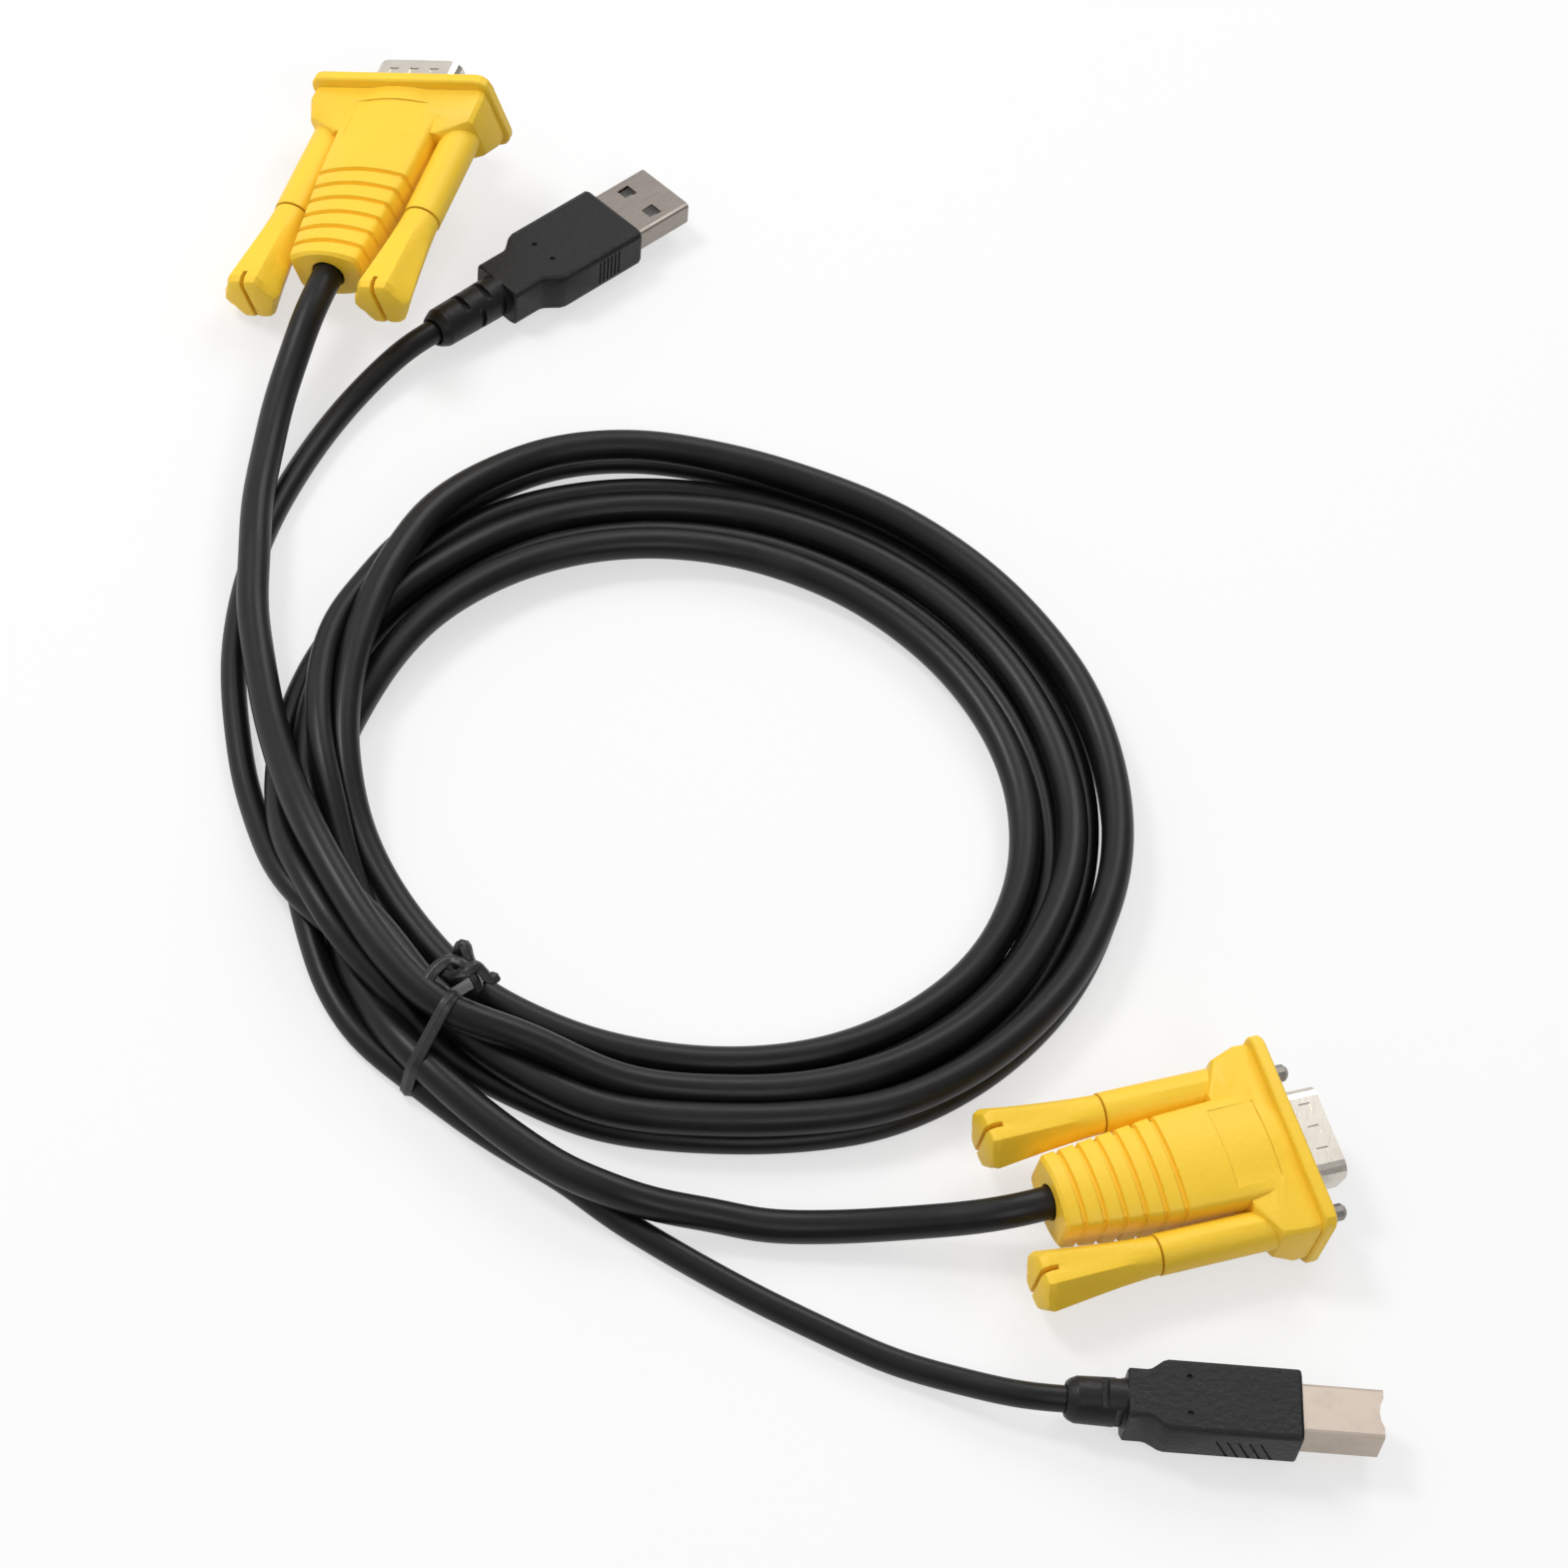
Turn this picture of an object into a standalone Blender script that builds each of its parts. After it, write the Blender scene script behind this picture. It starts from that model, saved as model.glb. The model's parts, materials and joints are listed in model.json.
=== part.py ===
# Keyboard, video and mouse cable: a 15 pin video lead and a data lead of the same length,
# coiled together, with a thumbscrew plug, a flat plug and a square plug on their ends.
#
# Every plug is modelled in its own frame: X to the right as seen from behind, Y towards the
# socket it mates with, Z up, origin on its axis at the back of the flange or the front of the
# overmould. An empty puts it where it lies. The coil is centred on the layout's own origin,
# and the whole layout is then moved so that the plugs' box stands centred on the world origin.

import math

import bmesh
import bpy
import numpy as np
from mathutils import Matrix, Vector

mm = 0.001

# Fits shared by several pieces
gap = 0.3 * mm
boolean_overlap = 1.0 * mm
video_cable_diameter = 5.25 * mm
data_cable_diameter = 4.15 * mm

# Video plug: flange and metal shell
screw_spacing = 25.0 * mm
flange_width = screw_spacing + 9.4 * mm
flange_height = 15.2 * mm
flange_thickness = 2.1 * mm
flange_corner = 2.4 * mm
flange_bevel = 0.4 * mm
plate_width = screw_spacing + 5.8 * mm
plate_height = 12.5 * mm
plate_thickness = 0.8 * mm
plate_corner = 1.6 * mm
shell_half_width = 8.45 * mm
shell_half_height = 4.3 * mm
shell_slant = math.radians(10)
shell_corner = 2.2 * mm
shell_least_corner = 0.6 * mm
shell_wall = 0.45 * mm
shell_reach = 6.2 * mm
dimple_pitch = 3.9 * mm
dimple_size = (1.7 * mm, 1.9 * mm)
dimple_depth = 0.2 * mm
dimple_setback = 3.4 * mm

# Video plug: insulator and contacts
insulator_reach = 0.8 * mm
insulator_flange = 0.9 * mm
insulator_depth = 3.7 * mm
pin_radius = 0.4 * mm
pin_reach = 5.1 * mm
pin_seat_depth = 1.6 * mm
pin_pitch = 2.29 * mm
row_pitch = 1.98 * mm
pins_per_row = 5
row_count = 3

# Video plug: moulded hood
hood_length = 38.5 * mm
hood_rear_half_width = 6.5 * mm
hood_waist_half_width = 8.5 * mm
hood_waist_at = 19.3 * mm
hood_shoulder_half_width = 8.9 * mm
hood_rear_half_height = 5.2 * mm
hood_front_half_height = 6.3 * mm
hood_crown = 1.2 * mm
hood_corner = 1.2 * mm
hood_end_bevel = 0.5 * mm
groove_count = 6
groove_first = 2.9 * mm
groove_pitch = 3.25 * mm
groove_width = 0.95 * mm
groove_depth = 0.7 * mm
panel_size = (13.5 * mm, 7.6 * mm)
panel_centre_at = 6.7 * mm
panel_depth = 0.25 * mm
shoulder_half_width = screw_spacing / 2 + 4.3 * mm
shoulder_rear_half_width = screw_spacing / 2 + 3.4 * mm
shoulder_half_height = 5.6 * mm
shoulder_rear_half_height = 4.3 * mm
shoulder_length = 8.6 * mm
shoulder_corner = 1.5 * mm
socket_depth = 2.5 * mm

# Video plug: thumbscrews
screw_radius = 1.42 * mm
screw_core_radius = 1.15 * mm
screw_reach = 4.7 * mm
screw_thread_length = 8.0 * mm
screw_tail_radius = 1.6 * mm
screw_tail_length = 6.0 * mm
screw_tip_bevel = 0.6 * mm
screw_step_bevel = 0.4 * mm
arm_radius = 3.3 * mm
arm_length = 25.2 * mm
knob_length = 19.8 * mm
knob_front_radius = 3.1 * mm
knob_rear_radius = 5.2 * mm
knob_flute_count = 6
knob_flute_depth = 0.75 * mm
knob_dome = 1.5 * mm
slot_width = 0.8 * mm
slot_depth = 2.8 * mm

# Flat data plug
flat_shell_width = 12.0 * mm
flat_shell_height = 4.5 * mm
flat_shell_wall = 0.3 * mm
flat_shell_reach = 11.9 * mm
flat_shell_seat = 4.0 * mm
flat_window = 2.5 * mm
flat_window_spacing = 6.2 * mm
flat_window_at = 5.8 * mm
tongue_thickness = 1.84 * mm
tongue_setback = 0.6 * mm
flat_wide_half_width = 7.3 * mm
flat_narrow_half_width = 5.0 * mm
flat_half_height = 3.7 * mm
flat_wide_length = 17.4 * mm
flat_step_length = 4.0 * mm
flat_block_length = 27.1 * mm
flat_relief_radius = 3.7 * mm
flat_relief_length = 14.0 * mm
flat_rib_at = 5.5 * mm
flat_rib_count = 6
flat_rib_pitch = 0.86 * mm
flat_dimple_spacing = 4.6 * mm
flat_dimple_at = 16.4 * mm

# Square data plug
square_shell_width = 8.45 * mm
square_shell_height = 7.78 * mm
square_shell_wall = 0.35 * mm
square_shell_chamfer = 1.6 * mm
square_shell_reach = 12.5 * mm
square_shell_seat = 4.0 * mm
square_notch_radius = 5.0 * mm
square_notch_depth = 0.7 * mm
square_cavity_width = 5.6 * mm
square_cavity_height = 3.2 * mm
square_cavity_depth = 8.0 * mm
square_wide_half_width = 6.1 * mm
square_narrow_half_width = 4.2 * mm
square_half_height = 4.9 * mm
square_chamfer = 2.6 * mm
square_wide_length = 20.4 * mm
square_step_length = 3.2 * mm
square_block_length = 26.6 * mm
square_relief_radius = 3.85 * mm
square_relief_length = 9.0 * mm
square_relief_rise = 0.9 * mm
square_rib_at = 5.0 * mm
square_rib_count = 5
square_rib_pitch = 1.7 * mm
square_rib_tilt = math.radians(28)
square_dimple_spacing = 6.2 * mm
square_dimple_at = 17.3 * mm

# Data plugs: what both share
block_corner = 1.0 * mm
block_front_bevel = 0.5 * mm
rib_radius = 0.3 * mm
mould_dimple_radius = 0.45 * mm
mould_dimple_depth = 0.35 * mm
relief_slot_width = 1.1 * mm
relief_slot_pitch = 2.3 * mm
relief_tip_length = 1.5 * mm
relief_wall = 0.35 * mm
contact_width = 1.0 * mm
contact_height = 0.12 * mm
contact_pitch = 2.2 * mm
contact_count = 4
contact_setback = 1.0 * mm

# Coil and its tie
coil_long_radius = 62.1 * mm
coil_short_radius = 57.9 * mm
coil_width = 18.6 * mm
coil_height = 8.4 * mm
coil_edge = 2.6 * mm
coil_stations = 60
tie_angle = math.radians(244)
tie_width = 2.0 * mm
tie_thickness = 0.7 * mm
tie_tail_width = 1.8 * mm
tie_half_height = (coil_height + gap - tie_thickness) / 2
tie_side_play = 0.05 * mm
knot_inset = 3.5 * mm
knot_step = 0.4 * mm
knot_points = 7

# Ends of the tie in millimetres: outwards, along the coil and up from the foot of its knot
tie_left_end = [(-1.6, -0.4, 1.4), (0.8, -3.0, 1.9), (3.8, -4.6, 1.2), (7.0, -5.0, 0.5)]
tie_right_end = [(-1.8, 0.3, 1.4), (-2.2, 2.4, 1.6), (-2.0, 4.6, 0.9)]

# Where each plug lies: its place in the layout, then its yaw, pitch and roll in degrees
plug_lay = {
    "vga_a": ((-79.5 * mm, 115.5 * mm), (-5.5, 3.0, -26.1)),
    "vga_b": ((102.3 * mm, -39.4 * mm), (-57.7, 0.0, 3.6)),
    "usb_a": ((-40.8 * mm, 111.1 * mm), (-34.4, 0.0, -8.5)),
    "usb_b": ((113.9 * mm, -83.6 * mm), (-78.2, 2.0, 0.0)),
}

# Free stretches of the two leads, from plug to coil, as layout points in millimetres
video_lead_a_route = [
    (-84.2, 60.5, 11.2), (-84.1, 50.0, 9.7), (-83.1, 40.0, 8.4), (-81.8, 30.0, 7.7),
    (-79.0, 18.0, 7.6), (-77.2, 9.0, 7.9), (-74.9, 1.0, 8.4)]
data_lead_a_route = [
    (-67.6, 72.0, 3.4), (-71.8, 63.6, 2.3), (-75.2, 54.0, 2.2), (-77.9, 42.0, 2.2),
    (-79.6, 29.0, 2.2), (-79.4, 17.0, 2.2), (-77.8, 5.0, 2.2), (-75.4, -6.0, 2.3), (-72.7, -14.6, 2.5)]
video_lead_b_route = [
    (-26.6, -65.9, 7.2), (-19.5, -69.2, 7.2), (-10.5, -71.9, 7.2), (2.0, -73.5, 7.1), (11.2, -75.3, 5.4),
    (20.0, -75.9, 3.6), (28.0, -74.8, 3.0), (38.0, -72.3, 4.1), (48.0, -69.4, 6.1)]
data_lead_b_route = [
    (-26.5, -65.2, 2.2), (-19.2, -69.3, 2.2), (-10.5, -72.9, 2.2), (-2.5, -76.1, 2.2), (6.4, -79.2, 2.2),
    (18.5, -83.4, 2.2), (30.2, -86.5, 2.2), (41.6, -88.9, 2.2), (52.8, -90.9, 2.4)]


for old in list(bpy.data.objects):
    bpy.data.objects.remove(old, do_unlink=True)


def new_collection(name):
    collection = bpy.data.collections.new(name)
    bpy.context.scene.collection.children.link(collection)
    return collection


parts = new_collection("kvm_cable")
cutters = new_collection("cutters")


def make_material(name, colour, roughness, metallic=0.0):
    material = bpy.data.materials.new(name)
    material.use_nodes = True
    shader = material.node_tree.nodes["Principled BSDF"]
    shader.inputs["Base Color"].default_value = (*colour, 1.0)
    shader.inputs["Roughness"].default_value = roughness
    shader.inputs["Metallic"].default_value = metallic
    material.diffuse_color = (*colour, 1.0)
    return material


hood_yellow = make_material("hood_yellow", (0.95, 0.60, 0.05), 0.45)
knob_yellow = make_material("knob_yellow", (0.95, 0.61, 0.06), 0.42)
nickel_plate = make_material("nickel_plate", (0.56, 0.53, 0.50), 0.28, 1.0)
warm_nickel = make_material("warm_nickel", (0.68, 0.60, 0.54), 0.30, 1.0)
screw_steel = make_material("screw_steel", (0.50, 0.48, 0.46), 0.32, 1.0)
contact_gold = make_material("contact_gold", (0.83, 0.62, 0.28), 0.25, 1.0)
insulator_black = make_material("insulator_black", (0.02, 0.02, 0.022), 0.5)
tongue_white = make_material("tongue_white", (0.82, 0.82, 0.80), 0.5)
overmould_black = make_material("overmould_black", (0.018, 0.018, 0.019), 0.48)
jacket_black = make_material("jacket_black", (0.02, 0.019, 0.019), 0.40)
tie_black = make_material("tie_black", (0.03, 0.027, 0.028), 0.42)


# Object helpers

def add_object(name, mesh, parent, material=None):
    thing = bpy.data.objects.new(name, mesh)
    parts.objects.link(thing)
    thing.parent = parent
    if material and not mesh.materials:
        mesh.materials.append(material)
    return thing


def add_empty(name, parent=None):
    empty = bpy.data.objects.new(name, None)
    empty.empty_display_size = 5 * mm
    parts.objects.link(empty)
    empty.parent = parent
    return empty


def mesh_from(name, bm):
    bmesh.ops.recalc_face_normals(bm, faces=bm.faces)
    mesh = bpy.data.meshes.new(name)
    bm.to_mesh(mesh)
    bm.free()
    return mesh


def as_helper(thing):
    """A solid that only cuts or joins another: hidden from renders and drawn as wire."""
    parts.objects.unlink(thing)
    cutters.objects.link(thing)
    thing.hide_render = True
    thing.display_type = "WIRE"
    return thing


def combine(target, helper, operation):
    modifier = target.modifiers.new(operation.lower() + "_" + helper.name, "BOOLEAN")
    modifier.operation = operation
    modifier.solver = "EXACT"
    modifier.object = as_helper(helper)


def unite(target, helper):
    combine(target, helper, "UNION")


def cut(target, helper):
    combine(target, helper, "DIFFERENCE")


def smooth_shade(mesh, angle=math.radians(35)):
    mesh.shade_smooth()
    mesh.set_sharp_from_angle(angle=angle)


# Shape helpers, all in a plug's frame: outlines are in X and Z, depths along Y

def rounded_polygon(corners, radius, steps=3):
    """Points round a polygon whose corners are replaced by arcs."""
    points = []
    corners = [Vector(corner) for corner in corners]
    for index, corner in enumerate(corners):
        before = (corners[index - 1] - corner).normalized()
        after = (corners[(index + 1) % len(corners)] - corner).normalized()
        half_angle = before.angle(after) / 2
        centre = corner + (before + after).normalized() * radius / math.sin(half_angle)
        reach = radius / math.tan(half_angle)
        start = corner + before * reach - centre
        end = corner + after * reach - centre
        sweep = start.angle(end)
        for step in range(steps + 1):
            share = step / steps
            arm = start * math.sin((1 - share) * sweep) + end * math.sin(share * sweep)
            points.append(tuple(centre + arm / math.sin(sweep)))
    return points


def rectangle(half_width, half_height):
    return [(-half_width, -half_height), (half_width, -half_height),
            (half_width, half_height), (-half_width, half_height)]


def d_shape(margin):
    """The shell's D outline, wide side up, grown or shrunk by a margin."""
    top = shell_half_width + margin
    half_height = shell_half_height + margin
    bottom = top - 2 * half_height * math.tan(shell_slant)
    corners = [(-bottom, -half_height), (bottom, -half_height), (top, half_height), (-top, half_height)]
    return rounded_polygon(corners, max(shell_corner + margin, shell_least_corner), 4)


def chamfered_box(half_width, half_height, chamfer, radius):
    """A box outline whose two lower corners are cut off."""
    low = -half_height
    corners = [(-half_width + chamfer, low), (half_width - chamfer, low),
               (half_width, low + chamfer), (half_width, half_height),
               (-half_width, half_height), (-half_width, low + chamfer)]
    return rounded_polygon(corners, radius, 2)


def loft(name, sections, parent, material=None):
    """A closed solid through outlines of equal point counts, each at its own Y."""
    bm = bmesh.new()
    loops = [[bm.verts.new((x, y, z)) for x, z in outline] for y, outline in sections]
    count = len(loops[0])
    for near, far in zip(loops, loops[1:]):
        for i in range(count):
            j = (i + 1) % count
            bm.faces.new((near[i], near[j], far[j], far[i]))
    bm.faces.new(loops[0])
    bm.faces.new(reversed(loops[-1]))
    thing = add_object(name, mesh_from(name, bm), parent, material)
    smooth_shade(thing.data)
    return thing


def flat_solid(name, outlines, y_from, y_to, parent, material=None):
    """A plate: a filled 2D curve in X and Z, as thick as the stretch from y_from to y_to."""
    curve = bpy.data.curves.new(name, "CURVE")
    curve.dimensions = "2D"
    curve.fill_mode = "BOTH"
    curve.extrude = (y_to - y_from) / 2
    for outline in outlines:
        spline = curve.splines.new("POLY")
        spline.points.add(len(outline) - 1)
        for point, (x, z) in zip(spline.points, outline):
            point.co = (x, z, 0, 1)
        spline.use_cyclic_u = True
    guide = bpy.data.objects.new(name, curve)
    parts.objects.link(guide)
    mesh = mesh_of_curve(guide)
    mesh.transform(Matrix.Translation((0, (y_from + y_to) / 2, 0)) @ Matrix.Rotation(math.pi / 2, 4, "X"))
    return add_object(name, mesh, parent, material)


def mesh_of_curve(guide):
    """The curve's evaluated mesh with its caps welded on; the curve is removed."""
    bpy.context.view_layer.update()
    mesh = bpy.data.meshes.new_from_object(guide.evaluated_get(bpy.context.evaluated_depsgraph_get()))
    bpy.data.objects.remove(guide, do_unlink=True)
    bm = bmesh.new()
    bm.from_mesh(mesh)
    bmesh.ops.remove_doubles(bm, verts=bm.verts, dist=0.001 * mm)
    bmesh.ops.recalc_face_normals(bm, faces=bm.faces)
    bm.to_mesh(mesh)
    bm.free()
    return mesh


def rod(name, radius, y_from, y_to, parent, centre=(0.0, 0.0), sides=16):
    """A round bar along Y, centred on a point in X and Z."""
    bm = bmesh.new()
    bmesh.ops.create_cone(bm, cap_ends=True, segments=sides, radius1=radius, radius2=radius, depth=y_to - y_from)
    turn = Matrix.Rotation(math.pi / 2, 4, "X")
    place = Matrix.Translation((centre[0], (y_from + y_to) / 2, centre[1]))
    bmesh.ops.transform(bm, matrix=place @ turn, verts=bm.verts)
    thing = add_object(name, mesh_from(name, bm), parent)
    smooth_shade(thing.data)
    return thing


def boxes(name, places, parent):
    """One helper mesh of separate boxes, each given by its centre, size and turn about X."""
    bm = bmesh.new()
    for centre, size, tilt in places:
        block = bmesh.ops.create_cube(bm, size=1)["verts"]
        scale = Matrix.Diagonal((*size, 1))
        matrix = Matrix.Translation(centre) @ Matrix.Rotation(tilt, 4, "X") @ scale
        bmesh.ops.transform(bm, matrix=matrix, verts=block)
    return add_object(name, mesh_from(name, bm), parent)


def turned(name, profile, sides, parent, material=None):
    """A solid of revolution about its own Z; the profile's points run from top to bottom."""
    mesh = bpy.data.meshes.new(name)
    points = [(radius, 0.0, height) for radius, height in profile]
    mesh.from_pydata(points, [(i, i + 1) for i in range(len(points) - 1)], [])
    thing = add_object(name, mesh, parent, material)
    add_screw(thing, sides)
    return thing


def add_screw(thing, sides):
    screw = thing.modifiers.new("turn", "SCREW")
    screw.steps = sides
    screw.render_steps = sides
    screw.use_merge_vertices = True
    screw.merge_threshold = 0.001 * mm
    screw.use_smooth_shade = True


def point_along_y(thing, location):
    """Turns a piece whose axis is its own Z so that it points along the plug's Y."""
    thing.rotation_euler = (-math.pi / 2, 0, 0)
    thing.location = location


# Video plug

def hood_outline(half_width, half_height, groove):
    """Vertical sides, rounded corners and a crowned top and underside; a groove sinks the crowns."""
    side_top = half_height - hood_crown
    arc = np.radians(np.linspace(0, 70, 4))
    corner_x = half_width - hood_corner + hood_corner * np.cos(arc)
    corner_z = side_top - hood_corner + hood_corner * np.sin(arc)
    share = np.linspace(0, 1, 5)[1:]
    crown_x = corner_x[-1] * (1 - share)
    crown_z = corner_z[-1] + (half_height - corner_z[-1]) * (1 - (1 - share) ** 2)
    quarter_x = np.concatenate([[half_width], corner_x, crown_x])
    quarter_z = np.concatenate([[0.0], corner_z, crown_z])
    sink = groove * np.clip((quarter_z / half_height - 0.4) / 0.25, 0, 1)
    outwards = np.clip((quarter_x - corner_x[-1]) / (half_width - corner_x[-1]), 0, 1)
    quarter_x = quarter_x - sink * outwards
    quarter_z = quarter_z - sink * (1 - outwards)
    top_x = np.concatenate([quarter_x, -quarter_x[-2::-1]])
    top_z = np.concatenate([quarter_z, quarter_z[-2::-1]])
    x = np.concatenate([top_x, top_x[-2:0:-1]])
    z = np.concatenate([top_z, -top_z[-2:0:-1]])
    return list(zip(x, z))


def hood_half_size(y):
    """Half the width and half the height of the hood's body at one station."""
    widths = [hood_rear_half_width, hood_waist_half_width, hood_shoulder_half_width, hood_waist_half_width]
    half_width = np.interp(y, [-hood_length, -hood_waist_at, -shoulder_length, 0.0], widths)
    half_height = np.interp(y, [-hood_length, 0.0], [hood_rear_half_height, hood_front_half_height])
    return float(half_width), float(half_height)


def panel_sections():
    """Cutter for the bare name panel: it sinks the crown evenly between the panel's edges."""
    sections = []
    for y in (-panel_centre_at - panel_size[1] / 2, -panel_centre_at + panel_size[1] / 2):
        half_width, half_height = hood_half_size(y)
        outline = hood_outline(half_width, half_height, 0.0)
        crown = sorted(point for point in outline if point[1] > half_height - hood_crown)
        across = np.linspace(-panel_size[0] / 2, panel_size[0] / 2, 9)
        floor = np.interp(across, [x for x, z in crown], [z for x, z in crown]) - panel_depth
        above = half_height + boolean_overlap
        sections.append((y, list(zip(across, floor)) + [(across[-1], above), (across[0], above)]))
    return sections


def hood_sections():
    """Stations of the hood's body from its rear end to inside the flange."""
    def section(y, inset=0.0, groove=0.0):
        half_width, half_height = hood_half_size(y)
        return y, hood_outline(half_width - inset, half_height - inset, groove)

    sections = [section(-hood_length, hood_end_bevel), section(-hood_length + hood_end_bevel)]
    wall = groove_width * 0.2
    for index in range(groove_count):
        start = -hood_length + groove_first - groove_width / 2 + index * groove_pitch
        end = start + groove_width
        sections += [section(start), section(start + wall, 0.0, groove_depth),
                     section(end - wall, 0.0, groove_depth), section(end)]
    sections += [section(-shoulder_length), section(0.0), section(flange_thickness / 2)]
    return sections


def shoulder_sections():
    """The block that ties both screw arms to the body and the flange."""
    def section(y, half_width, half_height):
        return y, rounded_polygon(rectangle(half_width, half_height), shoulder_corner, 3)

    return [section(-shoulder_length, hood_shoulder_half_width + arm_radius / 2, shoulder_rear_half_height * 0.9),
            section(-shoulder_length * 0.68, shoulder_rear_half_width, shoulder_rear_half_height),
            section(-shoulder_length * 0.26, shoulder_half_width, shoulder_half_height),
            section(flange_thickness * 0.4, shoulder_half_width - 0.2 * mm, shoulder_half_height + 0.1 * mm)]


def build_hood(tag, plug):
    hood = loft(tag + "_hood", hood_sections(), plug, hood_yellow)
    unite(hood, loft(tag + "_shoulders", shoulder_sections(), plug))
    for side in (-1, 1):
        centre = (side * screw_spacing / 2, 0.0)
        unite(hood, rod("%s_arm_%d" % (tag, side), arm_radius, -arm_length, flange_thickness * 0.3, plug, centre))
    flange_outline = rounded_polygon(rectangle(flange_width / 2, flange_height / 2), flange_corner)
    flange = flat_solid(tag + "_flange", [flange_outline], 0.0, flange_thickness, plug)
    edge = flange.modifiers.new("edge", "BEVEL")
    edge.width = flange_bevel
    edge.segments = 1
    edge.limit_method = "ANGLE"
    edge.angle_limit = math.radians(60)
    unite(hood, flange)

    seat_back = flange_thickness - plate_thickness - gap
    seat = rounded_polygon(rectangle(plate_width / 2 + gap, plate_height / 2 + gap), plate_corner + gap)
    cut(hood, flat_solid(tag + "_plate_seat", [seat], seat_back, flange_thickness + boolean_overlap, plug))
    pocket_back = seat_back + gap - insulator_depth - gap
    cut(hood, flat_solid(tag + "_insulator_pocket", [d_shape(insulator_flange - shell_wall)],
                         pocket_back, seat_back + boolean_overlap, plug))
    for side in (-1, 1):
        centre = (side * screw_spacing / 2, 0.0)
        cut(hood, rod("%s_bore_%d" % (tag, side), screw_radius + gap, -arm_length - boolean_overlap,
                      flange_thickness + boolean_overlap, plug, centre, 12))
    cut(hood, rod(tag + "_cable_socket", video_cable_diameter / 2 + gap, -hood_length - boolean_overlap,
                  -hood_length + socket_depth, plug))
    cut(hood, loft(tag + "_panel", panel_sections(), plug))
    return hood


def build_shell(tag, plug):
    """Flange plate and D shell, one stamping, with three dimples in each long side."""
    plate_back = flange_thickness - plate_thickness
    outline = rounded_polygon(rectangle(plate_width / 2, plate_height / 2), plate_corner)
    shell = flat_solid(tag + "_shell", [outline], plate_back, flange_thickness, plug, nickel_plate)
    shell_front = flange_thickness + shell_reach
    unite(shell, flat_solid(tag + "_shell_skirt", [d_shape(0.0)], plate_back + plate_thickness / 3,
                            shell_front, plug))
    cut(shell, flat_solid(tag + "_shell_hollow", [d_shape(-shell_wall)], plate_back - boolean_overlap,
                          shell_front + boolean_overlap, plug))
    for side in (-1, 1):
        centre = (side * screw_spacing / 2, 0.0)
        cut(shell, rod("%s_plate_hole_%d" % (tag, side), screw_radius + gap, plate_back - boolean_overlap,
                       flange_thickness + boolean_overlap, plug, centre, 12))
    dimples = []
    for level in (-1, 1):
        height = level * (shell_half_height - dimple_depth + boolean_overlap / 2)
        for column in (-1, 0, 1):
            centre = (column * dimple_pitch, flange_thickness + dimple_setback, height)
            dimples.append((centre, (dimple_size[0], dimple_size[1], boolean_overlap), 0.0))
    cut(shell, boxes(tag + "_shell_dimples", dimples, plug))
    return shell


def pin_places():
    """X and Z of the contacts; the middle row is shifted by half a pitch."""
    for row in range(row_count):
        shift = (0.25 if row % 2 else -0.25) * pin_pitch
        for column in range(pins_per_row):
            x = (column - (pins_per_row - 1) / 2) * pin_pitch + shift
            yield x, ((row_count - 1) / 2 - row) * row_pitch


def build_contacts(tag, plug):
    """The black insulator with a collar trapped behind the plate, and the pins in its holes."""
    front = flange_thickness + insulator_reach
    step = flange_thickness - plate_thickness - gap
    collar = d_shape(insulator_flange - shell_wall - gap)
    nose = d_shape(-shell_wall - gap)
    sections = [(step - insulator_depth + gap, collar), (step, collar), (step, nose), (front, nose)]
    insulator = loft(tag + "_insulator", sections, plug, insulator_black)
    holes = bmesh.new()
    for x, z in pin_places():
        place = Matrix.Translation((x, front - pin_seat_depth / 2 + boolean_overlap / 2, z))
        bmesh.ops.create_cone(holes, cap_ends=True, segments=8, radius1=pin_radius + gap, radius2=pin_radius + gap,
                              depth=pin_seat_depth + boolean_overlap,
                              matrix=place @ Matrix.Rotation(math.pi / 2, 4, "X"))
    cut(insulator, add_object(tag + "_pin_holes", mesh_from(tag + "_pin_holes", holes), plug))

    seat = front - pin_seat_depth + gap
    length = front + pin_reach - seat
    profile = [(0.0, length), (pin_radius * 0.55, length), (pin_radius, length - pin_radius),
               (pin_radius, 0.0), (0.0, 0.0)]
    for number, (x, z) in enumerate(pin_places(), 1):
        pin = turned("%s_pin_%02d" % (tag, number), profile, 6, plug, contact_gold)
        point_along_y(pin, (x, seat, z))


def knob_radius(share):
    """Radius of the knob from its front, 0, to its rear, 1: slim at first, then flared."""
    return knob_front_radius + (knob_rear_radius - knob_front_radius) * share ** 1.15


def knob_sections():
    """Rings whose flutes deepen towards the rear, with a domed end."""
    angles = np.linspace(0, 2 * math.pi, 4 * knob_flute_count, endpoint=False)

    def ring(share, y, scale=1.0):
        depth = knob_flute_depth * min(1.0, 1.4 * share)
        radius = scale * (knob_radius(share) - depth * (1 - np.cos(knob_flute_count * angles)) / 2)
        return y, list(zip(radius * np.cos(angles), radius * np.sin(angles)))

    flared = knob_length - knob_dome
    rings = [ring(share, -share * flared) for share in (0.0, 0.18, 0.36, 0.54, 0.77, 1.0)]
    for lean in (45, 75):
        bend = math.radians(lean)
        rings.append(ring(1.0, -flared - knob_dome * math.sin(bend), 1 - 0.35 * (1 - math.cos(bend))))
    return rings


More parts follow.
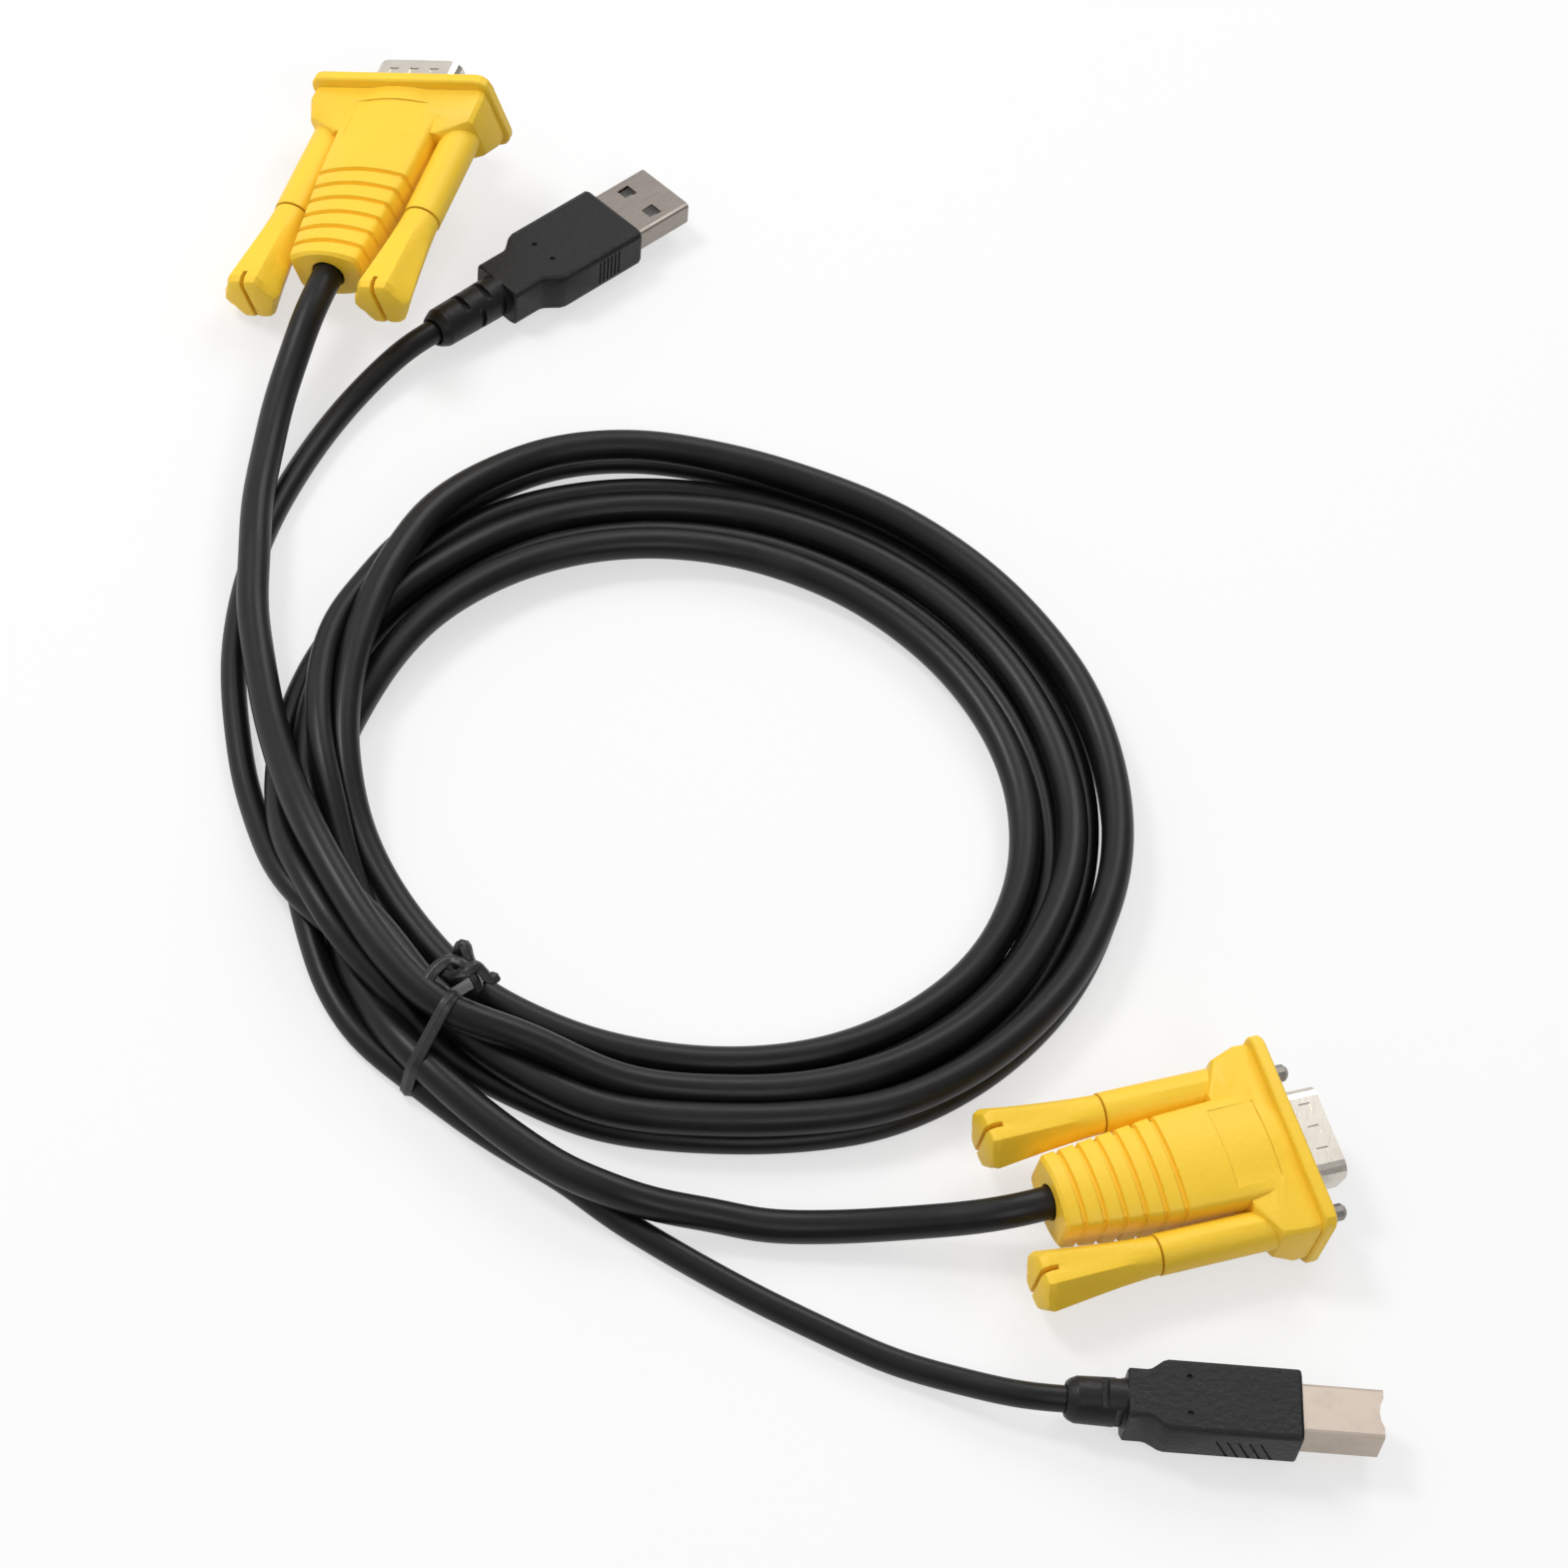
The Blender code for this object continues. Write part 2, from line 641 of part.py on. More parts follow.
def build_thumbscrew(tag, side, plug):
    """A fluted knob moulded on the tail of a long screw; both turn on the screw's axis."""
    word = "left" if side < 0 else "right"
    axis_x = side * screw_spacing / 2
    knob_front = -arm_length - gap
    knob = loft("%s_knob_%s" % (tag, word), knob_sections(), plug, knob_yellow)
    knob.location = (axis_x, knob_front, 0)
    bore_depth = screw_tail_length + 2 * gap
    cut(knob, rod("%s_knob_bore_%s" % (tag, word), screw_tail_radius + gap, -bore_depth, boolean_overlap, knob,
                  sides=12))
    slot = ((0, -knob_length, 0), (slot_width, 2 * slot_depth, 4 * knob_rear_radius), 0.0)
    cut(knob, boxes("%s_knob_slot_%s" % (tag, word), [slot], knob))

    tip = flange_thickness + screw_reach
    tail = knob_front - screw_tail_length - gap
    length = tip - tail
    thread_end = length - screw_thread_length
    profile = [(0.0, length), (screw_core_radius * 0.8, length), (screw_radius, length - screw_tip_bevel),
               (screw_radius, thread_end), (screw_core_radius, thread_end - screw_step_bevel),
               (screw_core_radius, screw_tail_length + screw_step_bevel), (screw_tail_radius, screw_tail_length),
               (screw_tail_radius, 0.0), (0.0, 0.0)]
    screw = turned("%s_screw_%s" % (tag, word), profile, 10, plug, screw_steel)
    point_along_y(screw, (axis_x, tail, 0))


def build_video_plug(tag, root):
    plug = add_empty(tag, root)
    build_hood(tag, plug)
    build_shell(tag, plug)
    build_contacts(tag, plug)
    for side in (-1, 1):
        build_thumbscrew(tag, side, plug)
    return plug


# Data plugs

def relief_profile(radius, cable_diameter, length):
    """Strain relief from its root at the top of the profile to its rounded tip."""
    core = cable_diameter / 2 + gap + relief_wall
    bottom = -length
    return [(0.0, boolean_overlap), (radius, boolean_overlap), (radius * 0.94, bottom + relief_tip_length),
            (radius * 0.94 - 0.3 * relief_tip_length, bottom + 0.35 * relief_tip_length), (core, bottom), (0.0, bottom)]


def add_relief(body, tag, radius, cable_diameter, block_length, length, rise, plug):
    """Joins the slotted strain relief to the block and bores it for the cable."""
    relief = turned(tag + "_relief", relief_profile(radius, cable_diameter, length), 20, plug)
    point_along_y(relief, (0, -block_length, rise))
    unite(body, relief)
    core = cable_diameter / 2 + gap + relief_wall
    tall = radius - core + boolean_overlap
    slots = []
    slot_count = int((length - relief_tip_length - relief_slot_width) / relief_slot_pitch)
    for index in range(slot_count):
        y = -block_length - relief_slot_width - index * relief_slot_pitch
        for level in (-1, 1):
            reach = level * (core + tall / 2)
            if index % 2:
                slots.append(((0, y, rise + reach), (4 * radius, relief_slot_width, tall), 0.0))
            else:
                slots.append(((reach, y, rise), (tall, relief_slot_width, 1.5 * radius), 0.0))
    cut(body, boxes(tag + "_relief_slots", slots, plug))
    end = -block_length - length
    cut(body, rod(tag + "_cable_socket", cable_diameter / 2 + gap, end - boolean_overlap, end + socket_depth,
                  plug, (0.0, rise)))


def mould_dimples(tag, spacing, at, top, plug):
    """Two ejector marks in the top face."""
    marks = bmesh.new()
    for side in (-1, 1):
        place = Matrix.Translation((side * spacing / 2, -at, top))
        bmesh.ops.create_cone(marks, cap_ends=True, segments=10, radius1=mould_dimple_radius,
                              radius2=mould_dimple_radius, depth=2 * mould_dimple_depth, matrix=place)
    return add_object(tag + "_mould_dimples", mesh_from(tag + "_mould_dimples", marks), plug)


def grip_ribs(tag, at, count, pitch, half_width, half_height, tilt, plug):
    """Thin upright grooves in both side faces."""
    places = []
    for side in (-1, 1):
        for index in range(count):
            centre = (side * half_width, -at - index * pitch, 0)
            places.append((centre, (2 * rib_radius, 1.2 * rib_radius, 1.3 * half_height), tilt))
    return boxes(tag + "_grip_ribs", places, plug)


def block_sections(wide, narrow, wide_length, step_length, block_length, outline):
    """Overmould from its front face back: wide block, concave step, narrow block."""
    sections = [(0.0, outline(wide - block_front_bevel, block_front_bevel)),
                (-block_front_bevel * 0.3, outline(wide - block_front_bevel * 0.3, block_front_bevel * 0.3)),
                (-block_front_bevel, outline(wide, 0.0))]
    for share in (0.0, 0.25, 0.55, 0.8, 1.0):
        ease = share * share * (3 - 2 * share)
        half_width = wide + (narrow - wide) * ease
        sections.append((-wide_length - share * step_length, outline(half_width, 0.0)))
    sections.append((-block_length + block_front_bevel / 2, outline(narrow, 0.0)))
    sections.append((-block_length, outline(narrow - block_front_bevel / 2, block_front_bevel / 2)))
    return sections


def contact_row(name, y_from, y_to, face, plug):
    """Flat contacts that stand slightly proud of a plastic face."""
    places = []
    for index in range(contact_count):
        x = (index - (contact_count - 1) / 2) * contact_pitch
        centre = (x, (y_from + y_to) / 2, face)
        places.append((centre, (contact_width, y_to - y_from, 2 * contact_height), 0.0))
    return boxes(name, places, plug)


def build_flat_plug(tag, root):
    plug = add_empty(tag, root)

    def outline(half_width, inset):
        return rounded_polygon(rectangle(half_width, flat_half_height - inset), block_corner, 2)

    sections = block_sections(flat_wide_half_width, flat_narrow_half_width, flat_wide_length,
                              flat_step_length, flat_block_length, outline)
    body = loft(tag + "_overmould", sections, plug, overmould_black)
    add_relief(body, tag, flat_relief_radius, data_cable_diameter, flat_block_length, flat_relief_length, 0.0, plug)
    seat = rectangle(flat_shell_width / 2 + gap, flat_shell_height / 2 + gap)
    cut(body, flat_solid(tag + "_shell_seat", [seat], -flat_shell_seat - gap, boolean_overlap, plug))
    cut(body, grip_ribs(tag, flat_rib_at, flat_rib_count, flat_rib_pitch, flat_wide_half_width,
                        flat_half_height, 0.0, plug))
    cut(body, mould_dimples(tag, flat_dimple_spacing, flat_dimple_at, flat_half_height, plug))

    half_width = flat_shell_width / 2
    half_height = flat_shell_height / 2
    skin = rounded_polygon(rectangle(half_width, half_height), 2 * flat_shell_wall, 2)
    bore = rounded_polygon(rectangle(half_width - flat_shell_wall, half_height - flat_shell_wall), flat_shell_wall, 2)
    shell = flat_solid(tag + "_shell", [skin, bore], -flat_shell_seat, flat_shell_reach, plug, nickel_plate)
    windows = []
    for side in (-1, 1):
        centre = (side * flat_window_spacing / 2, flat_window_at, 0)
        windows.append((centre, (flat_window, flat_window, 2 * flat_shell_height), 0.0))
    cut(shell, boxes(tag + "_windows", windows, plug))

    inner_half_width = half_width - flat_shell_wall - gap
    floor = -half_height + flat_shell_wall + gap
    tongue_top = floor + tongue_thickness
    ceiling = half_height - flat_shell_wall - gap
    reach = flat_shell_reach - tongue_setback
    blocks = [((0, (reach - flat_shell_seat) / 2 + gap / 2, floor + tongue_thickness / 2),
               (2 * inner_half_width, reach + flat_shell_seat - gap, tongue_thickness), 0.0)]
    tongue = boxes(tag + "_tongue", blocks, plug)
    tongue.data.materials.append(tongue_white)
    back = ((0, -flat_shell_seat / 2 + gap / 2, (floor + ceiling) / 2),
            (2 * inner_half_width - gap, flat_shell_seat - gap, ceiling - floor - gap), 0.0)
    unite(tongue, boxes(tag + "_tongue_back", [back], plug))
    unite(tongue, contact_row(tag + "_contacts", contact_setback / 2, reach - contact_setback, tongue_top, plug))
    return plug


def build_square_plug(tag, root):
    plug = add_empty(tag, root)

    def outline(half_width, inset):
        chamfer = square_chamfer * half_width / square_wide_half_width
        return chamfered_box(half_width, square_half_height - inset, chamfer, block_corner * 0.7)

    sections = block_sections(square_wide_half_width, square_narrow_half_width, square_wide_length,
                              square_step_length, square_block_length, outline)
    body = loft(tag + "_overmould", sections, plug, overmould_black)
    add_relief(body, tag, square_relief_radius, data_cable_diameter, square_block_length,
               square_relief_length, square_relief_rise, plug)
    half_width = square_shell_width / 2
    half_height = square_shell_height / 2
    seat = chamfered_box(half_width + gap, half_height + gap, square_shell_chamfer + gap / 2, 2 * gap)
    cut(body, flat_solid(tag + "_shell_seat", [seat], -square_shell_seat - gap, boolean_overlap, plug))
    cut(body, grip_ribs(tag, square_rib_at, square_rib_count, square_rib_pitch, square_wide_half_width,
                        square_half_height * 0.8, square_rib_tilt, plug))
    cut(body, mould_dimples(tag, square_dimple_spacing, square_dimple_at, square_half_height, plug))

    wall = square_shell_wall
    skin = chamfered_box(half_width, half_height, square_shell_chamfer, 2 * gap)
    bore = chamfered_box(half_width - wall, half_height - wall, square_shell_chamfer - 0.6 * wall, gap)
    shell = flat_solid(tag + "_shell", [skin, bore], -square_shell_seat, square_shell_reach, plug, warm_nickel)
    notch = bmesh.new()
    notch_at = square_shell_reach + square_notch_radius - square_notch_depth
    bmesh.ops.create_cone(notch, cap_ends=True, segments=24, radius1=square_notch_radius,
                          radius2=square_notch_radius, depth=square_shell_height,
                          matrix=Matrix.Translation((0, notch_at, half_height)))
    cut(shell, add_object(tag + "_shell_notch", mesh_from(tag + "_shell_notch", notch), plug))

    chamfer = square_shell_chamfer - 0.6 * wall
    filling = chamfered_box(half_width - wall - gap, half_height - wall - gap, chamfer, gap)
    reach = square_shell_reach - tongue_setback - square_notch_depth
    insert = flat_solid(tag + "_insert", [filling], -square_shell_seat + gap, reach, plug, tongue_white)
    cavity = rectangle(square_cavity_width / 2, square_cavity_height / 2)
    cut(insert, flat_solid(tag + "_cavity", [cavity], reach - square_cavity_depth, reach + boolean_overlap, plug))
    rows = []
    for level in (-1, 1):
        for side in (-1, 1):
            centre = (side * contact_pitch / 2, reach - square_cavity_depth / 2, level * square_cavity_height / 2)
            rows.append((centre, (contact_width, square_cavity_depth - contact_setback, 2 * contact_height), 0.0))
    unite(insert, boxes(tag + "_contacts", rows, plug))
    return plug


# Coil, tie and leads

def tie_relief_outline(coil_half_width):
    """The coil's underside and lower edges are cut away where the strap passes."""
    steps = 3
    under = rectangle(coil_half_width - tie_side_play, tie_half_height - gap)
    lower = rounded_polygon(under, coil_edge, steps)[:2 * (steps + 1)]
    side = coil_half_width + 2 * tie_thickness
    below = -tie_half_height - 2 * tie_thickness
    return lower + [(side, lower[-1][1]), (side, below), (-side, below), (-side, lower[0][1])]


def coil_radius(angle):
    """How far the middle of the turns is from the coil's centre: an ellipse in plan."""
    across = math.hypot(coil_short_radius * math.cos(angle), coil_long_radius * math.sin(angle))
    return coil_long_radius * coil_short_radius / across


def build_coil(root):
    """The outer shape of the three turns: a rounded section carried round an oval, relieved under the tie."""
    section = rounded_polygon(rectangle(coil_width / 2, coil_height / 2), coil_edge, 2)
    bm = bmesh.new()
    loops = []
    for station in range(coil_stations):
        angle = 2 * math.pi * station / coil_stations
        out = Vector((math.cos(angle), math.sin(angle), 0))
        loops.append([bm.verts.new(out * (coil_radius(angle) + x) + Vector((0, 0, coil_height / 2 + z)))
                      for x, z in section])
    for near, far in zip(loops, loops[1:] + loops[:1]):
        for i in range(len(section)):
            j = (i + 1) % len(section)
            bm.faces.new((near[i], near[j], far[j], far[i]))
    coil = add_object("coil", mesh_from("coil", bm), root, jacket_black)
    smooth_shade(coil.data)
    relief = flat_solid("coil_tie_relief", [tie_relief_outline(coil_width / 2)], -tie_width / 2 - gap,
                        tie_width / 2 + gap, root)
    relief.rotation_euler = (0, 0, tie_angle)
    middle = coil_radius(tie_angle)
    relief.location = (middle * math.cos(tie_angle), middle * math.sin(tie_angle), tie_thickness + tie_half_height)
    cut(coil, relief)
    return coil


def ribbon(name, points, width, thickness, turns, across, parent):
    """A flat strip through points; it turns about its own run as it goes."""
    bm = bmesh.new()
    points = [Vector(point) for point in points]
    loops = []
    for index, point in enumerate(points):
        run = points[min(index + 1, len(points) - 1)] - points[max(index - 1, 0)]
        side = Vector(across) - run * (Vector(across).dot(run) / run.dot(run))
        turn = Matrix.Rotation(turns * 2 * math.pi * index / (len(points) - 1), 3, run.normalized())
        side = turn @ side.normalized()
        up = run.normalized().cross(side)
        corners = [(1, 1), (-1, 1), (-1, -1), (1, -1)]
        loops.append([bm.verts.new(point + side * (a * width / 2) + up * (b * thickness / 2)) for a, b in corners])
    for near, far in zip(loops, loops[1:]):
        for i in range(4):
            j = (i + 1) % 4
            bm.faces.new((near[i], near[j], far[j], far[i]))
    bm.faces.new(loops[0])
    bm.faces.new(reversed(loops[-1]))
    return add_object(name, mesh_from(name, bm), parent)


def build_tie(root):
    """Twist tie: a flat strap round the coil whose ends are twisted together on top."""
    frame = add_empty("twist_tie_frame", root)
    frame.rotation_euler = (0, 0, tie_angle)
    middle = coil_radius(tie_angle)
    half_width = coil_width / 2 + gap
    inner = rounded_polygon(rectangle(half_width, tie_half_height), coil_edge + gap, 3)
    outer = rounded_polygon(rectangle(half_width + tie_thickness, tie_half_height + tie_thickness),
                            coil_edge + gap + tie_thickness, 3)
    loop = flat_solid("twist_tie", [outer, inner], -tie_width / 2, tie_width / 2, frame, tie_black)
    loop.location = (middle, 0, tie_half_height + tie_thickness)

    top = 2 * tie_half_height + 2 * tie_thickness
    foot = Vector((middle - coil_width / 2 + knot_inset, 0, top))
    knot = [foot + Vector((-1, 0, 1)) * knot_step * index for index in range(knot_points)]
    unite(loop, ribbon("tie_knot", knot, tie_tail_width, 2 * tie_thickness, 1.0, (0, 1, 0), frame))
    left_end = [foot + Vector(reach) * mm for reach in tie_left_end]
    unite(loop, ribbon("tie_left_end", left_end, tie_tail_width, tie_thickness, 0.0, (0.5, 1, 0), frame))
    right_end = [foot + Vector(reach) * mm for reach in tie_right_end]
    unite(loop, ribbon("tie_right_end", right_end, tie_tail_width, tie_thickness, 0.1, (1, 0, 0), frame))
    return loop


def smooth_points(route, spacing):
    """Points at an even spacing along a Catmull-Rom curve through the route's own points."""
    knots = np.array(route)
    padded = np.vstack([2 * knots[0] - knots[1], knots, 2 * knots[-1] - knots[-2]])
    share = np.linspace(0, 1, 24, endpoint=False)[:, None]
    pieces = []
    for a, b, c, d in zip(padded, padded[1:], padded[2:], padded[3:]):
        pieces.append(0.5 * (2 * b + (c - a) * share + (2 * a - 5 * b + 4 * c - d) * share ** 2
                             + (3 * b - a - 3 * c + d) * share ** 3))
    curve = np.vstack(pieces + [knots[-1:]])
    run = np.concatenate([[0], np.cumsum(np.linalg.norm(np.diff(curve, axis=0), axis=1))])
    marks = np.linspace(0, run[-1], max(2, int(round(run[-1] / spacing)) + 1))
    return np.stack([np.interp(marks, run, curve[:, axis]) for axis in range(3)], axis=1)


def build_lead(name, plug, exit_point, diameter, route, root):
    """A plain tube from the bottom of the plug's cable socket to the coil's outer side."""
    to_layout = root.matrix_world.inverted() @ plug.matrix_world
    inside = to_layout @ Vector(exit_point)
    outside = to_layout @ (Vector(exit_point) + Vector((0, -2 * diameter, 0)))
    points = smooth_points([tuple(inside), tuple(outside)] + [tuple(c * mm for c in p) for p in route],
                           2 * diameter)
    curve = bpy.data.curves.new(name, "CURVE")
    curve.dimensions = "3D"
    curve.bevel_depth = diameter / 2
    curve.bevel_resolution = 2
    curve.use_fill_caps = True
    spline = curve.splines.new("POLY")
    spline.points.add(len(points) - 1)
    for point, co in zip(spline.points, points):
        point.co = (*co, 1)
    curve.materials.append(jacket_black)
    lead = bpy.data.objects.new(name, curve)
    parts.objects.link(lead)
    lead.parent = root
    return lead


# Placing

def world_corners(pieces):
    """All evaluated vertices of some pieces, in world space."""
    graph = bpy.context.evaluated_depsgraph_get()
    found = []
    for piece in pieces:
        evaluated = piece.evaluated_get(graph)
        mesh = evaluated.to_mesh()
        points = np.empty(3 * len(mesh.vertices))
        mesh.vertices.foreach_get("co", points)
        matrix = np.array(piece.matrix_world)
        found.append(points.reshape(-1, 3) @ matrix[:3, :3].T + matrix[:3, 3])
        evaluated.to_mesh_clear()
    return np.vstack(found)


def solid_children(plug):
    return [piece for piece in plug.children_recursive if piece.type == "MESH" and not piece.hide_render]


def settle(plug, place, turns):
    """Turns a plug as it lies and lowers it until its lowest point meets the surface."""
    yaw, pitch, roll = (math.radians(turn) for turn in turns)
    plug.rotation_mode = "YXZ"
    plug.rotation_euler = (pitch, roll, yaw)
    plug.location = (*place, 0)
    bpy.context.view_layer.update()
    plug.location.z = -world_corners(solid_children(plug))[:, 2].min()


layout = add_empty("layout")
plugs = {
    "vga_a": build_video_plug("vga_a", layout),
    "vga_b": build_video_plug("vga_b", layout),
    "usb_a": build_flat_plug("usb_a", layout),
    "usb_b": build_square_plug("usb_b", layout),
}
for tag, (place, turns) in plug_lay.items():
    settle(plugs[tag], place, turns)
build_coil(layout)
build_tie(layout)

own_pieces = [piece for plug in plugs.values() for piece in solid_children(plug)]
bpy.context.view_layer.update()
corners = world_corners(own_pieces)
layout.location = (*(-(corners.min(axis=0) + corners.max(axis=0))[:2] / 2), 0)
bpy.context.view_layer.update()

hood_exit = (0, -hood_length + socket_depth - gap, 0)
flat_exit = (0, -flat_block_length - flat_relief_length + socket_depth - gap, 0)
square_exit = (0, -square_block_length - square_relief_length + socket_depth - gap, square_relief_rise)
build_lead("vga_lead_a", plugs["vga_a"], hood_exit, video_cable_diameter, video_lead_a_route, layout)
build_lead("usb_lead_a", plugs["usb_a"], flat_exit, data_cable_diameter, data_lead_a_route, layout)
build_lead("vga_lead_b", plugs["vga_b"], hood_exit, video_cable_diameter, video_lead_b_route[::-1], layout)
build_lead("usb_lead_b", plugs["usb_b"], square_exit, data_cable_diameter, data_lead_b_route[::-1], layout)
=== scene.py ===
import json
import math

import bmesh
import bpy
import numpy as np
from mathutils import Matrix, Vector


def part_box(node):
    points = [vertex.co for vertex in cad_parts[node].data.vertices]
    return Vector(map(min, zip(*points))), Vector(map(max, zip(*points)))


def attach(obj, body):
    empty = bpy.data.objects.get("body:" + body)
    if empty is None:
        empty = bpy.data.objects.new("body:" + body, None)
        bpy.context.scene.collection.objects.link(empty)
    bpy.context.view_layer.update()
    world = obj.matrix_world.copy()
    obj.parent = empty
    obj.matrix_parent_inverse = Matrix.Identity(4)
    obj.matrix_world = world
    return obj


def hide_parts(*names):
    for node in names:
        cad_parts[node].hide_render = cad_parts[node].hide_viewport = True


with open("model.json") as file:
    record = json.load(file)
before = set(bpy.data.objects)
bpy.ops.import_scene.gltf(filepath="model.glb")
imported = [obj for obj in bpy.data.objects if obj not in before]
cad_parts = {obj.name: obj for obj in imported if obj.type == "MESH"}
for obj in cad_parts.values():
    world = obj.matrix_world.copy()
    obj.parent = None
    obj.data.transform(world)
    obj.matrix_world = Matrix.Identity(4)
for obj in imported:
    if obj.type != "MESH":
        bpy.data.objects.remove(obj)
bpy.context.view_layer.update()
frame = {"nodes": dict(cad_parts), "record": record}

scene = bpy.context.scene
mainBody = "cable_set"
mm = 0.001

# Routes are written in millimetres from the middle of the coil and placed with the coil of the frame.
coilLow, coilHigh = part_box("coil")
coilMiddle = np.array([(coilLow.x + coilHigh.x) / 2, (coilLow.y + coilHigh.y) / 2, 0.0])


def place(points):
    # millimetres from the coil's middle to metres in the frame
    return np.asarray(points, float) * mm + coilMiddle


print("stage: camera")
cameraSetup = {
    "tilt": 53.6,                    # degrees down
    "roll": 15.7,                    # degrees
    "distance": 867.0,               # mm from the target
    "target": (13.5, 9.2, 0.0),      # mm from the coil's middle
    "lens": 122.98,
    "sensor": 36.0,
    "nearest": 0.01,
    "pixels": 1569,                  # the side of the picture in which seenAt's places are given
}


def cameraAxes(setup):
    # forward is along +Y and tilted down; right and up are then rolled about it
    tilt, roll = math.radians(setup["tilt"]), math.radians(setup["roll"])
    forward = np.array([0.0, math.cos(tilt), -math.sin(tilt)])
    right, up = np.array([1.0, 0.0, 0.0]), np.array([0.0, math.sin(tilt), math.cos(tilt)])
    return forward, right * math.cos(roll) + up * math.sin(roll), up * math.cos(roll) - right * math.sin(roll)


def makeCamera(setup):
    # the eye stands back from the target along the line of sight
    forward, right, up = cameraAxes(setup)
    spot = place(setup["target"]) - forward * setup["distance"] * mm
    data = bpy.data.cameras.new("camera")
    data.lens, data.sensor_width, data.clip_start = setup["lens"], setup["sensor"], setup["nearest"]
    camera = bpy.data.objects.new("camera", data)
    scene.collection.objects.link(camera)
    columns = np.stack([right, up, -forward, spot], axis=1)
    camera.matrix_world = Matrix([*columns.tolist(), [0, 0, 0, 1]])
    scene.camera = camera


def seenAt(x, y, height):
    # a point in mm from the coil's middle that the camera sees at this pixel, at this height
    forward, right, up = cameraAxes(cameraSetup)
    middle = cameraSetup["pixels"] / 2
    focal = cameraSetup["lens"] / cameraSetup["sensor"] * cameraSetup["pixels"]
    look = forward + right * (x - middle) / focal - up * (y - middle) / focal
    eye = np.array(cameraSetup["target"]) - forward * cameraSetup["distance"]
    return eye + look * (height - eye[2]) / look[2]


makeCamera(cameraSetup)

print("stage: routes of both cords")
# Where each plug stands: a point in mm from the coil's middle, and yaw, pitch, roll in degrees.
plugPlaces = {
    "videoA": ((-79.5, 115.5, 13.541), (-5.5, 3.0, -26.1)),
    "videoB": ((102.3, -39.4, 8.514), (-57.7, 0.0, 3.6)),
    "dataA": ((-40.8, 111.1, 4.591), (-34.4, 0.0, -8.5)),
    "dataB": ((113.9, -83.6, 5.811), (-78.2, 2.0, 0.0)),
}


def atPlug(plug, along, rise=0.0):
    # a point on a plug's own long axis: its yaw times pitch times roll, then its place
    spot, angles = plugPlaces[plug]
    yaw, pitch, roll = np.radians(angles)
    turnZ = np.array([[math.cos(yaw), -math.sin(yaw), 0], [math.sin(yaw), math.cos(yaw), 0], [0, 0, 1]])
    turnX = np.array([[1, 0, 0], [0, math.cos(pitch), -math.sin(pitch)], [0, math.sin(pitch), math.cos(pitch)]])
    turnY = np.array([[math.cos(roll), 0, math.sin(roll)], [0, 1, 0], [-math.sin(roll), 0, math.cos(roll)]])
    return tuple(np.array(spot) + turnZ @ turnX @ turnY @ np.array([0.0, along, rise]))


